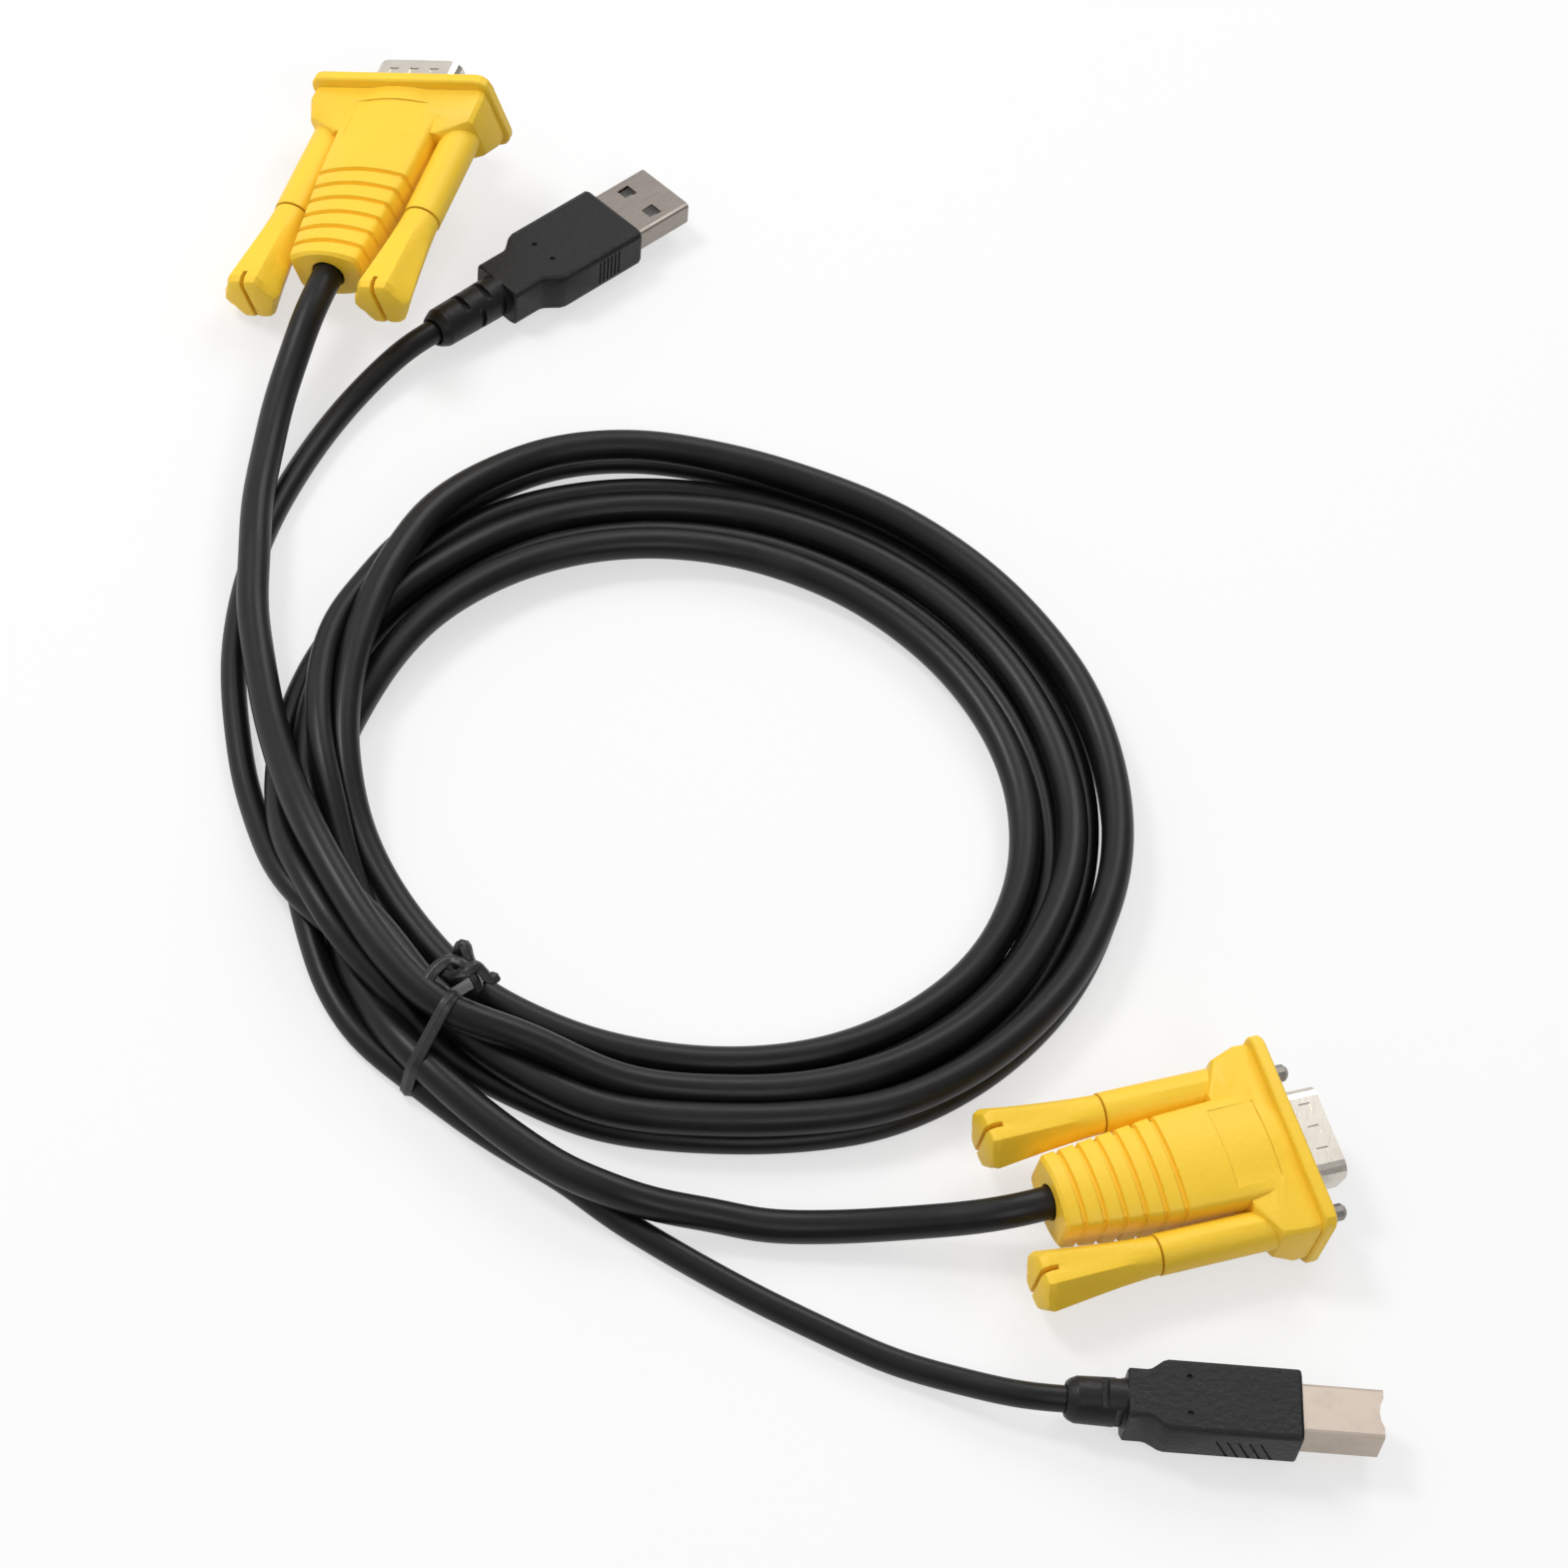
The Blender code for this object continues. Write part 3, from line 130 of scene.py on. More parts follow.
# A row of a turn is angle in degrees, radius, height as seen, and the height it starts from if that differs.
# A row of a lead is x, y, height as seen, and the same last value.
videoCord = {
    "diameter": 5.25,
    "leadA": [
        atPlug("videoA", -36.3), atPlug("videoA", -46.8), (-84.2, 60.5, 11.2), (-84.1, 50, 9.7), (-83.1, 40, 8.4),
        (-81.8, 30, 7.7), (-79, 18, 7.6), (-76.8, 9, 7.9), (-72.5, -1.4, 8.4, 9.5), (-67.6, -11.3, 8.4, 11.5),
        (-61.7, -20.6, 8.2, 13), (-54.8, -30.3, 8, 13), (-46.3, -40.3, 7.5, 11.5), (-35.6, -49, 6.5, 9.5),
        (-26.7, -53.8, 5.6, 8.3),
    ],
    "turns": [
        (257, 57.6, 5.6, 6.8), (272, 58.4, 5.6, 6.3), (288, 57.3, 5.6), (302, 58, 5.6), (316, 58.8, 5.6),
        (330, 59.5, 5.6), (344, 60.1, 5.6), (360, 60.8, 5.6), (375, 61.2, 5.6), (390, 60.9, 5.6), (405, 60.5, 5.6),
        (420, 60, 5.6), (435, 58.9, 5.6), (450, 58.3, 5.6), (465, 57.9, 5.6), (480, 58.3, 5.6), (495, 58.9, 4.5, 3),
        (510, 58.9, 2.65), (522, 59.6, 2.65), (534, 60.6, 2.65), (546, 61.2, 2.65), (560, 61.8, 5, 7.9),
        (572, 62.6, 5, 7.9), (586, 61.5, 5, 6), (602, 62.3, 5.5), (617, 62.9, 6.2), (630, 63.9, 6.4),
        (644, 63.2, 6.7), (658, 63.9, 6.7), (671, 65.6, 6.7), (685, 66.4, 6.7), (699, 67.2, 6.7), (712, 68, 6.7),
        (726, 68.8, 6.7), (740, 68.8, 6.7), (754, 68.7, 6.7), (767, 67.9, 6.7), (780, 67.3, 6.7), (794, 66.7, 6.7),
        (808, 66.2, 6.7), (820, 67, 6.7), (832, 68.4, 6.9), (844, 68.6, 7.4), (856, 67.3, 8.6), (866, 65.7, 9.4),
        (873, 64, 9.5, 11), (880, 62.5, 10.5, 11.6), (888, 61.1, 10.6, 11), (897, 59.9, 9.9), (906, 58.5, 9.2),
        (916, 57.4, 8.5), (926, 56.5, 7.9), (937, 55.6, 7), (950, 54.95, 6.4), (963, 55, 6), (975, 53.9, 5.6),
        (988, 53.1, 5.6), (1004, 52.5, 5.6), (1020, 52.8, 5.6), (1035, 53.5, 5.6), (1050, 54.3, 5.6),
        (1065, 55.3, 5.6), (1080, 55.5, 5.6), (1095, 54.8, 5.6), (1110, 53.6, 5.6), (1125, 52.3, 5.6),
        (1140, 51.1, 5.6), (1155, 50.4, 5.6), (1172, 49.9, 5.6), (1188, 50, 5.6), (1202, 50.5, 5.6),
        (1215, 51.2, 5.6), (1227, 52.3, 5.4), (1238, 53.8, 5), (1248, 55.2, 4.2), (1258, 56.8, 2.65),
        (1270, 59, 2.7), (1283, 61.8, 2.65), (1295, 63.3, 2.65, 3), (1305, 64.7, 2.65, 4.2), (1313, 66.4, 4, 5.6),
        (1323, 69.4, 5.8, 6.8), (1330, 71.7, 6.8), (1338, 73.8, 6.8), (1345, 76, 6.8),
    ],
    "leadB": [
        (-1.5, -77.3, 6.8), (8, -78.6, 6.6, 6.2), (14.5, -78.1, 6.2, 4.8), (22, -76.5, 4.8, 3.2), (28, -74.8, 2.9),
        (38, -72.3, 4.1), (48, -69.4, 6.1), atPlug("videoB", -46.8), atPlug("videoB", -36.3),
    ],
}
dataCord = {
    "diameter": 4.15,
    "leadA": [
        atPlug("dataA", -38.9), atPlug("dataA", -47.2), (-71.8, 63.6, 2.3), (-75.2, 54, 2.1), (-77.9, 42, 2.1),
        (-79.6, 29, 2.1), (-79.4, 17, 2.1), (-77.8, 5, 2.3), (-75.2, -4.5, 3), (-71.2, -14.8, 3.6),
        (-67.9, -21.8, 4.2), (-61.5, -32.2, 5), (-56, -38.6, 5.4), (-48.3, -44.6, 5.4), (-37.5, -51, 4.5),
    ],
    "turns": [
        (257, 62.1, 2.1), (272, 61.7, 2.1), (288, 60.7, 2.1), (302, 61.1, 2.1), (316, 61.9, 2.1), (330, 62.6, 2.1),
        (344, 63.2, 2.1), (360, 63.9, 2.1), (375, 64.3, 2.1), (390, 64, 2.1), (405, 63.6, 2.1), (420, 63.1, 2.1),
        (435, 62, 2.1), (450, 61.4, 2.1), (465, 61, 2.1), (480, 61, 2.1), (495, 61.6, 2.1), (510, 62.4, 2.1),
        (522, 63.4, 2.1), (534, 64.4, 2.1), (546, 65, 2.1), (560, 65.6, 3.5, 7.3), (572, 65.8, 4.5, 7.3),
        (586, 66, 5, 6.5), (602, 66.2, 3.5, 3), (617, 63.3, 2.1), (630, 64.3, 2.1), (644, 63.6, 2.1),
        (658, 64.3, 2.1), (671, 66, 2.1), (685, 66.8, 2.1), (699, 67.6, 2.1), (712, 68.4, 2.1), (726, 69.2, 2.1),
        (740, 69.2, 2.1), (754, 69.1, 2.1), (767, 68.3, 2.1), (780, 67.7, 2.1), (794, 67.1, 2.1), (808, 66.6, 2.1),
        (820, 67.4, 2.1), (832, 68.8, 2.1), (844, 69, 2.1), (856, 67.3, 3), (866, 65.9, 4.6), (873, 64.2, 6.2),
        (880, 62.8, 7.2), (888, 62, 7.2), (897, 62, 6.8), (906, 62, 6.4), (916, 61.6, 6), (926, 60.9, 5.5),
        (937, 60, 4), (950, 59.2, 2.5), (963, 58.4, 2.1), (975, 57, 2.1), (988, 56.2, 2.1), (1004, 55.6, 2.1),
        (1020, 55.9, 2.1), (1035, 56.6, 2.1), (1050, 57.4, 2.1), (1065, 58.4, 2.1), (1080, 58.6, 2.1),
        (1095, 57.9, 2.1), (1110, 56.7, 2.1), (1125, 55.4, 2.1), (1140, 54.2, 2.1), (1155, 53.5, 2.1),
        (1172, 53, 2.1), (1188, 53.1, 2.1), (1202, 53.6, 2.1), (1215, 54.3, 2.1), (1227, 55.4, 2.1),
        (1238, 56.9, 2.1), (1248, 58.3, 2.1), (1260, 60.5, 2.1), (1272, 63.2, 2.1), (1285, 65.4, 2.1),
        (1297, 66.3, 2.1), (1307, 66.9, 2.1), (1316, 68, 2.1), (1325, 70, 2.1), (1333, 72, 2.1), (1341, 73.8, 2.1),
        (1348, 75.4, 2.1),
    ],
    "leadB": [
        (4.5, -78.4, 2.1), (11.5, -81, 2.1), (19.5, -83.6, 2.1), (30.2, -86.5, 2.1), (41.6, -88.9, 2.1),
        (52.8, -90.9, 2.2), (63, -91.6, 3.4), atPlug("dataB", -41.7, 0.9), atPlug("dataB", -33.4, 0.9),
    ],
}
settling = {
    "spacing": 2.5,        # mm between the points that settle
    "rounds": 420,
    "sag": 0.015,          # mm a round
    "bending": 0.5,
    "hold": 0.02,          # how far a round goes back to the traced line
    "raySlope": 0.737,     # y for each mm of height along the camera's line of sight
    "gap": 0.05,           # mm that touching strands keep
    "push": 0.45,          # share of an overlap that each strand gives way
    "shared": 0.6,         # how far several pushes on one point are averaged
    "fixedEnds": 5,        # points
    "lookEvery": 8,        # rounds between the looks for points that can touch
    "nearBy": 2.5,         # mm
    "ownPoints": 8,        # points of one strand that are too close along it to count
}


def routeRows(cord):
    # leads stay as they are, turns go from angle and radius to x and y; a missing start height is the seen one
    def four(rows):
        return np.array([(*row, row[2]) if len(row) == 3 else row for row in rows], float)

    turns = four(cord["turns"])
    angle = np.radians(turns[:, 0])
    turns = np.stack([turns[:, 1] * np.cos(angle), turns[:, 1] * np.sin(angle), turns[:, 2], turns[:, 3]], axis=1)
    return np.vstack([four(cord["leadA"]), turns, four(cord["leadB"])])


def smoothLine(rows, spacing, steps=24):
    # Catmull-Rom curve through the rows, then points at equal lengths along it
    rows = np.asarray(rows, float)
    padded = np.vstack([2 * rows[0] - rows[1], rows, 2 * rows[-1] - rows[-2]])
    t = np.linspace(0, 1, steps, endpoint=False)[None, :, None]
    a, b, c, d = [part[:, None] for part in (padded[:-3], padded[1:-2], padded[2:-1], padded[3:])]
    pieces = 0.5 * (2 * b + (c - a) * t + (2 * a - 5 * b + 4 * c - d) * t ** 2 + (3 * b - a - 3 * c + d) * t ** 3)
    line = np.vstack([pieces.reshape(-1, rows.shape[1]), rows[-1:]])
    run = np.concatenate([[0], np.cumsum(np.linalg.norm(np.diff(line[:, :3], axis=0), axis=1))])
    marks = np.linspace(0, run[-1], int(round(run[-1] / spacing)) + 1)
    return np.stack([np.interp(marks, run, line[:, k]) for k in range(rows.shape[1])], axis=1)


def settle(lines, radii, followsRay, setup):
    # Each round: sink a little, straighten the height, go back to the traced line, push touching strands apart.
    # A line that follows the ray keeps its place in the picture as it sinks.
    counts = [len(line) for line in lines]
    rows = np.vstack(lines)
    seenPlan, seenHeight = rows[:, :2].copy(), rows[:, 2].copy()
    radius = np.repeat(radii, counts)
    strand = np.repeat(np.arange(len(lines)), counts)
    order = np.concatenate([np.arange(count) for count in counts])
    ray = np.repeat(followsRay, counts) * setup["raySlope"]
    points = np.stack([rows[:, 0], rows[:, 1] + (seenHeight - rows[:, 3]) * ray, rows[:, 3]], axis=1)
    last = np.repeat(counts, counts) - 1
    free = (order >= setup["fixedEnds"]) & (order <= last - setup["fixedEnds"])
    inner = np.flatnonzero((order > 0) & (order < last))
    rest = (points[inner - 1] + points[inner + 1]) / 2 - points[inner]
    rest[:, 2] = 0
    for turn in range(setup["rounds"]):
        if turn % setup["lookEvery"] == 0:
            apart = ((points[:, None, :2] - points[None, :, :2]) ** 2).sum(axis=2)
            near = apart < (radius[:, None] + radius[None, :] + setup["nearBy"]) ** 2
            nextTo = np.abs(order[:, None] - order[None, :]) < setup["ownPoints"]
            near &= ~((strand[:, None] == strand[None, :]) & nextTo)
            first, second = np.nonzero(np.triu(near, 1))
        points[free, 2] -= setup["sag"]
        bend = np.zeros_like(points)
        bend[inner] = setup["bending"] * ((points[inner - 1] + points[inner + 1]) / 2 - points[inner] - rest)
        points[free] += bend[free]
        wanted = seenPlan.copy()
        wanted[:, 1] += (seenHeight - points[:, 2]) * ray
        points[free, :2] += setup["hold"] * (wanted[free] - points[free, :2])
        across = points[second] - points[first]
        distance = np.linalg.norm(across, axis=1)
        needed = radius[first] + radius[second] + setup["gap"]
        hit = distance < needed
        push = across[hit] / distance[hit, None] * ((needed - distance)[hit, None] * setup["push"])
        moved, touched = np.zeros_like(points), np.zeros(len(points))
        for ends, way in ((first[hit], -1), (second[hit], 1)):
            np.add.at(moved, ends, way * push)
            np.add.at(touched, ends, 1)
        share = np.maximum(touched, 1) * setup["shared"] + (1 - setup["shared"])
        points[free] += (moved / share[:, None])[free]
        points[:, 2] = np.maximum(points[:, 2], radius)
    return np.split(points, np.cumsum(counts)[:-1])


startLines = [smoothLine(routeRows(cord), settling["spacing"]) for cord in (videoCord, dataCord)]
cordRadii = [cord["diameter"] / 2 for cord in (videoCord, dataCord)]
videoLine, dataLine = settle(startLines, cordRadii, (1.0, 0.0), settling)


def addMesh(name, points, faces, uv=None, smooth=True):
    # one mesh object at the origin; faces are lists of corners, and uv has one row for each face corner
    mesh = bpy.data.meshes.new(name)
    mesh.from_pydata(np.asarray(points).tolist(), [], faces)
    if uv is not None:
        layer = mesh.uv_layers.new(name="surface")
        layer.data.foreach_set("uv", np.asarray(uv, np.float32).ravel())
    mesh.polygons.foreach_set("use_smooth", np.full(len(mesh.polygons), smooth))
    mesh.update()
    thing = bpy.data.objects.new(name, mesh)
    scene.collection.objects.link(thing)
    return thing


def gridFaces(rings, sides, closedRings=False):
    # four corners for each cell of a grid that is closed round its section, and along it too if asked
    rows = np.arange(rings if closedRings else rings - 1)[:, None]
    columns = np.arange(sides)[None, :]
    nextRow, nextColumn = (rows + 1) % rings, (columns + 1) % sides
    corners = [rows * sides + columns, nextRow * sides + columns,
               nextRow * sides + nextColumn, rows * sides + nextColumn]
    return np.stack([corner.ravel() for corner in corners], axis=1)


def gridUv(rings, sides, length):
    # u is the length along in metres, v goes once round
    u = np.linspace(0, length, rings)[:-1, None] + np.zeros((1, sides))
    v = np.arange(sides)[None, :] / sides + np.zeros((rings - 1, 1))
    du, dv = length / (rings - 1), 1 / sides
    corners = [(u, v), (u + du, v), (u + du, v + dv), (u, v + dv)]
    return np.stack([np.stack([a.ravel(), b.ravel()], axis=1) for a, b in corners], axis=1).reshape(-1, 2)


def lineLength(line):
    # sum of the distances between neighbouring points
    return float(np.linalg.norm(np.diff(line, axis=0), axis=1).sum())


def sweepFrames(line, upward):
    # for each point a side direction, square to the line and to the upward one, and one square to line and side
    tangent = np.gradient(line, axis=0)
    tangent /= np.linalg.norm(tangent, axis=1)[:, None]
    side = np.cross(tangent, upward)
    side /= np.linalg.norm(side, axis=1)[:, None]
    return side, np.cross(side, tangent)


tubeSetup = {
    "rounds": 3,           # of smoothing after the strands have settled
    "spacing": 1.7,        # mm between the rings
    "steps": 8,
    "sides": 24,
}


def tube(name, line, radius):
    # a ring round each point: radius times cosine along the level side direction, sine along the other
    side, up = sweepFrames(line, (0.0, 0.0, 1.0))
    sides = tubeSetup["sides"]
    angle = np.linspace(0, 2 * np.pi, sides, endpoint=False)[None, :, None]
    points = line[:, None] + radius * (np.cos(angle) * side[:, None] + np.sin(angle) * up[:, None])
    faces = gridFaces(len(line), sides).tolist()
    return addMesh(name, points.reshape(-1, 3), faces, gridUv(len(line), sides, lineLength(line)))


def finalLine(settled):
    # a light smoothing of the settled points, ends kept, then the fine line in metres
    line = settled.copy()
    for turn in range(tubeSetup["rounds"]):
        line[2:-2] = line[2:-2] * 0.5 + (line[1:-3] + line[3:-1]) * 0.25
    return place(smoothLine(line, tubeSetup["spacing"], tubeSetup["steps"]))


print("stage: cords")
videoPath, dataPath = finalLine(videoLine), finalLine(dataLine)
videoPiece = tube("video_cord", videoPath, videoCord["diameter"] / 2 * mm)
dataPiece = tube("data_cord", dataPath, dataCord["diameter"] / 2 * mm)
print("video cord", round(lineLength(videoPath), 4), "m, data cord", round(lineLength(dataPath), 4), "m")
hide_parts("coil", "vga_lead_a", "vga_lead_b")
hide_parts("usb_lead_a", "usb_lead_b")
for piece in (videoPiece, dataPiece):
    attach(piece, mainBody)

print("stage: plug skins")
# Merged copies of the plugs' solids, so that their round parts are shaded round: name ending and edge angle.
plugSkins = {
    "hood": 26, "knob_left": 30, "knob_right": 30, "screw_left": 30, "screw_right": 30, "shell": 12,
    "overmould": 22, "insulator": 20, "tongue": 20, "insert": 20,
}
cornerMerge = 2e-6      # metres
bodyOfNode = {name: body for body, names in frame["record"]["behaviour"]["bodies"].items() for name in names}


def makeSkin(nodeName, angle):
    # the node's own triangles with equal corners merged; edges sharper than the angle stay sharp
    mesh = frame["nodes"][nodeName].data.copy()
    mesh.name = nodeName + "_skin"
    shell = bmesh.new()
    shell.from_mesh(mesh)
    bmesh.ops.remove_doubles(shell, verts=shell.verts, dist=cornerMerge)
    shell.to_mesh(mesh)
    shell.free()
    if "custom_normal" in mesh.attributes:
        mesh.attributes.remove(mesh.attributes["custom_normal"])
    mesh.polygons.foreach_set("use_smooth", np.full(len(mesh.polygons), True))
    mesh.set_sharp_from_angle(angle=math.radians(angle))
    skin = bpy.data.objects.new(nodeName + "_skin", mesh)
    scene.collection.objects.link(skin)
    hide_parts(nodeName)
    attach(skin, bodyOfNode[nodeName])
    return skin


skins = {}
for name in sorted(frame["nodes"]):
    ending = next((ending for ending in plugSkins if name.endswith(ending)), None)
    if ending:
        skins[name] = makeSkin(name, plugSkins[ending])


print("stage: twist tie")
tie = {
    "inside": (-24.7, -50.7),      # where the strap passes the coil's inner edge, mm
    "outside": (-29.3, -67.2),     # and its outer edge
    "reach": (-9.0, 27.0),         # strands between these distances along that line are held
    "width": 2.1,
    "edge": 0.22,                  # half thickness at the strap's edges
    "wire": 0.5,                   # half thickness over the wire
    "wireSpread": 0.42,            # how wide the rise over the wire is
    "roundness": 0.55,             # power of the sine that rounds the edges
    "floor": 0.52,                 # lowest height of the strap's middle
    "directions": 721,             # in which the strands are felt for
    "stations": 160,               # sections round the strap
    "sides": 24,
    "endSides": 16,
    "smoothing": 4,                # rounds
    "endSpacing": 0.35,            # mm between the sections of the knot's strips
    "endUpward": (0.15, 0.25, 1.0),    # which way their thin side faces
    "endThickness": 1.5,
    "tipSize": 0.8,
    "tipGrowth": 14,               # how fast a strip reaches its full size from the tip
    "knotRise": 2.6,               # mm above the highest held strand's middle
}


def strapSection(count):
    # across: cosine; through: a flat lens with a round rise over the wire
    angle = np.linspace(0, 2 * np.pi, count, endpoint=False)
    across = np.cos(angle) * tie["width"] / 2
    rise = tie["edge"] + (tie["wire"] - tie["edge"]) * np.exp(-(across / tie["wireSpread"]) ** 2)
    return across, np.sign(np.sin(angle)) * np.abs(np.sin(angle)) ** tie["roundness"] * rise


def crossings(line, radius, spot, along, facing):
    # where a line passes the upright plane of the strap: distance along it, height and the line's radius
    away = (line[:, :2] - spot) @ facing
    hit = np.flatnonzero(away[:-1] * away[1:] < 0)
    share = (away[hit] / (away[hit] - away[hit + 1]))[:, None]
    met = line[hit] * (1 - share) + line[hit + 1] * share
    distance = (met[:, :2] - spot) @ along
    keep = (distance > tie["reach"][0]) & (distance < tie["reach"][1])
    return np.stack([distance[keep], met[keep, 2], np.full(keep.sum(), radius)], axis=1)


def tieBand():
    # round all held strands: the point that reaches furthest in each direction, in even steps and smoothed,
    # with the strap's section set square to that outline
    spot, end = np.array(tie["inside"]), np.array(tie["outside"])
    along = (end - spot) / np.linalg.norm(end - spot)
    facing = np.array([-along[1], along[0]])
    held = np.vstack([crossings(videoLine, cordRadii[0], spot, along, facing),
                      crossings(dataLine, cordRadii[1], spot, along, facing)])
    angle = np.linspace(0, 2 * np.pi, tie["directions"])
    direction = np.stack([np.cos(angle), np.sin(angle)], axis=1)
    reach = direction @ held[:, :2].T + held[:, 2] + tie["edge"]
    best = reach.argmax(axis=1)
    outline = held[best, :2] + direction * (held[best, 2] + tie["edge"])[:, None]
    outline[:, 1] = np.maximum(outline[:, 1], tie["floor"])
    run = np.concatenate([[0], np.cumsum(np.linalg.norm(np.diff(outline, axis=0), axis=1))])
    marks = np.linspace(0, run[-1], tie["stations"], endpoint=False)
    outline = np.stack([np.interp(marks, run, outline[:, k]) for k in range(2)], axis=1)
    for turn in range(tie["smoothing"]):
        outline = outline * 0.5 + (np.roll(outline, 1, axis=0) + np.roll(outline, -1, axis=0)) * 0.25
    tangent = np.roll(outline, -1, axis=0) - np.roll(outline, 1, axis=0)
    tangent /= np.linalg.norm(tangent, axis=1)[:, None]
    outward = np.stack([tangent[:, 1], -tangent[:, 0]], axis=1)
    across, through = strapSection(tie["sides"])
    flat = outline[:, None] + outward[:, None] * through[None, :, None]
    plan = spot + flat[..., :1] * along + across[None, :, None] * facing
    points = np.concatenate([plan, flat[..., 1:]], axis=2)
    rings, sides = points.shape[:2]
    return points.reshape(-1, 3), gridFaces(rings, sides, closedRings=True)[:, ::-1], held


bandPoints, bandFaces, heldStrands = tieBand()
print("tie holds", len(heldStrands), "strands, top", round(float(bandPoints[:, 2].max()), 1), "mm")


def knotEnd(rows):
    # a flattened wire strip along a line: the strap's section, its wide side kept level, smaller at the tips
    line = smoothLine(rows, tie["endSpacing"])
    side, up = sweepFrames(line, tie["endUpward"])
    across, through = strapSection(tie["endSides"])
    run = np.linspace(0, 1, len(line))
    size = np.minimum(1, np.minimum(run, 1 - run) * tie["tipGrowth"] + tie["tipSize"])[:, None, None]
    flat = across[None, :, None] * side[:, None] + through[None, :, None] * up[:, None] * tie["endThickness"]
    points = line[:, None] + flat * size
    count = len(across)
    caps = [list(range(count))[::-1], list(range((len(line) - 1) * count, len(line) * count))]
    return points.reshape(-1, 3), gridFaces(len(line), count), caps


# The knot's strips, traced in the picture at heights near the knot's top.
knotTop = float(heldStrands[:, 1].max()) + tie["knotRise"]
knotRows = {
    "endLeft": [seenAt(480, 990, knotTop - 1.4), seenAt(474, 976, knotTop + 0.4), seenAt(464, 964, knotTop + 1.2),
                seenAt(450, 960, knotTop + 0.9), seenAt(437, 968, knotTop + 0.3), seenAt(428, 979, knotTop - 0.4),
                seenAt(420, 991, knotTop - 1.0)],
    "endRight": [seenAt(446, 975, knotTop - 1.6), seenAt(456, 977, knotTop - 0.2), seenAt(466, 973, knotTop + 1.5),
                 seenAt(476, 966, knotTop + 1.7), seenAt(484, 973, knotTop + 0.9), seenAt(490, 980, knotTop + 0.2),
                 seenAt(497, 976, knotTop - 0.1)],
    "fold": [seenAt(452, 968, knotTop - 2.2), seenAt(458, 957, knotTop - 1.0), seenAt(461, 947, knotTop + 0.6),
             seenAt(465, 945, knotTop + 1.0), seenAt(468, 955, knotTop + 0.6), seenAt(473, 968, knotTop - 0.6)],
}
tiePoints, tieFaces, tieOffset = [bandPoints], bandFaces.tolist(), len(bandPoints)
for rows in knotRows.values():
    points, sides, caps = knotEnd(rows)
    tiePoints.append(points)
    tieFaces += (sides + tieOffset).tolist() + [[corner + tieOffset for corner in cap] for cap in caps]
    tieOffset += len(points)
tiePiece = addMesh("tie_strap", place(np.vstack(tiePoints)), tieFaces)
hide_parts("twist_tie")
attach(tiePiece, mainBody)

print("stage: materials")


def newGroup(name, inputs, outputs):
    # a shader node group with named sockets
    tree = bpy.data.node_groups.new(name, "ShaderNodeTree")
    for label, kind, value in inputs:
        socket = tree.interface.new_socket(name=label, in_out="INPUT", socket_type=kind)
        if value is not None:
            socket.default_value = value
    for label, kind in outputs:
        tree.interface.new_socket(name=label, in_out="OUTPUT", socket_type=kind)
    return tree, tree.nodes.new("NodeGroupInput"), tree.nodes.new("NodeGroupOutput")


def addNode(tree, kind, links=(), **settings):
    # a node with its settings, its plain values and what feeds it
    node = tree.nodes.new(kind)
    for label, value in settings.items():
        setattr(node, label, value)
    for socket, source in dict(links).items():
        if isinstance(source, bpy.types.NodeSocket):
            tree.links.new(source, node.inputs[socket])
        else:
            node.inputs[socket].default_value = source
    return node


def calc(tree, operation, a, b=0.0, c=0.0):
    # one step of arithmetic
    return addNode(tree, "ShaderNodeMath", {0: a, 1: b, 2: c}, operation=operation).outputs[0]


def noise(tree, spot, scale, detail, roughness=0.5):
    # a soft random value from 0 to 1 over the surface
    links = {"Vector": spot, "Scale": scale, "Detail": detail, "Roughness": roughness}
    return addNode(tree, "ShaderNodeTexNoise", links).outputs["Fac"]


def mixColours(tree, share, first, second):
    # first colour at share 0, second at share 1
    mixed = addNode(tree, "ShaderNodeMix", data_type="RGBA")
    for socket, source in ((0, share), (6, first), (7, second)):
        tree.links.new(source, mixed.inputs[socket])
    return mixed.outputs[2]


def feed(tree, out, values):
    # joins the group's outputs
    for label, source in values.items():
        tree.links.new(source, out.inputs[label])
    return tree


floatKind, colourKind = "NodeSocketFloat", "NodeSocketColor"
surfaceOutputs = [("Colour", colourKind), ("Roughness", floatKind), ("Height", floatKind)]
mouldLook = {
    "cloudDetail": 4.0, "fineDetail": 2.0,
    "specks": 0.55,        # their scale next to the grain's
    "cloudGain": 4.0,
    "gritShare": 0.6,      # how much the fine noise adds to the gloss
    "speckShare": 0.5,     # and the specks to the height
    "glossLimits": (0.05, 1.0),
}


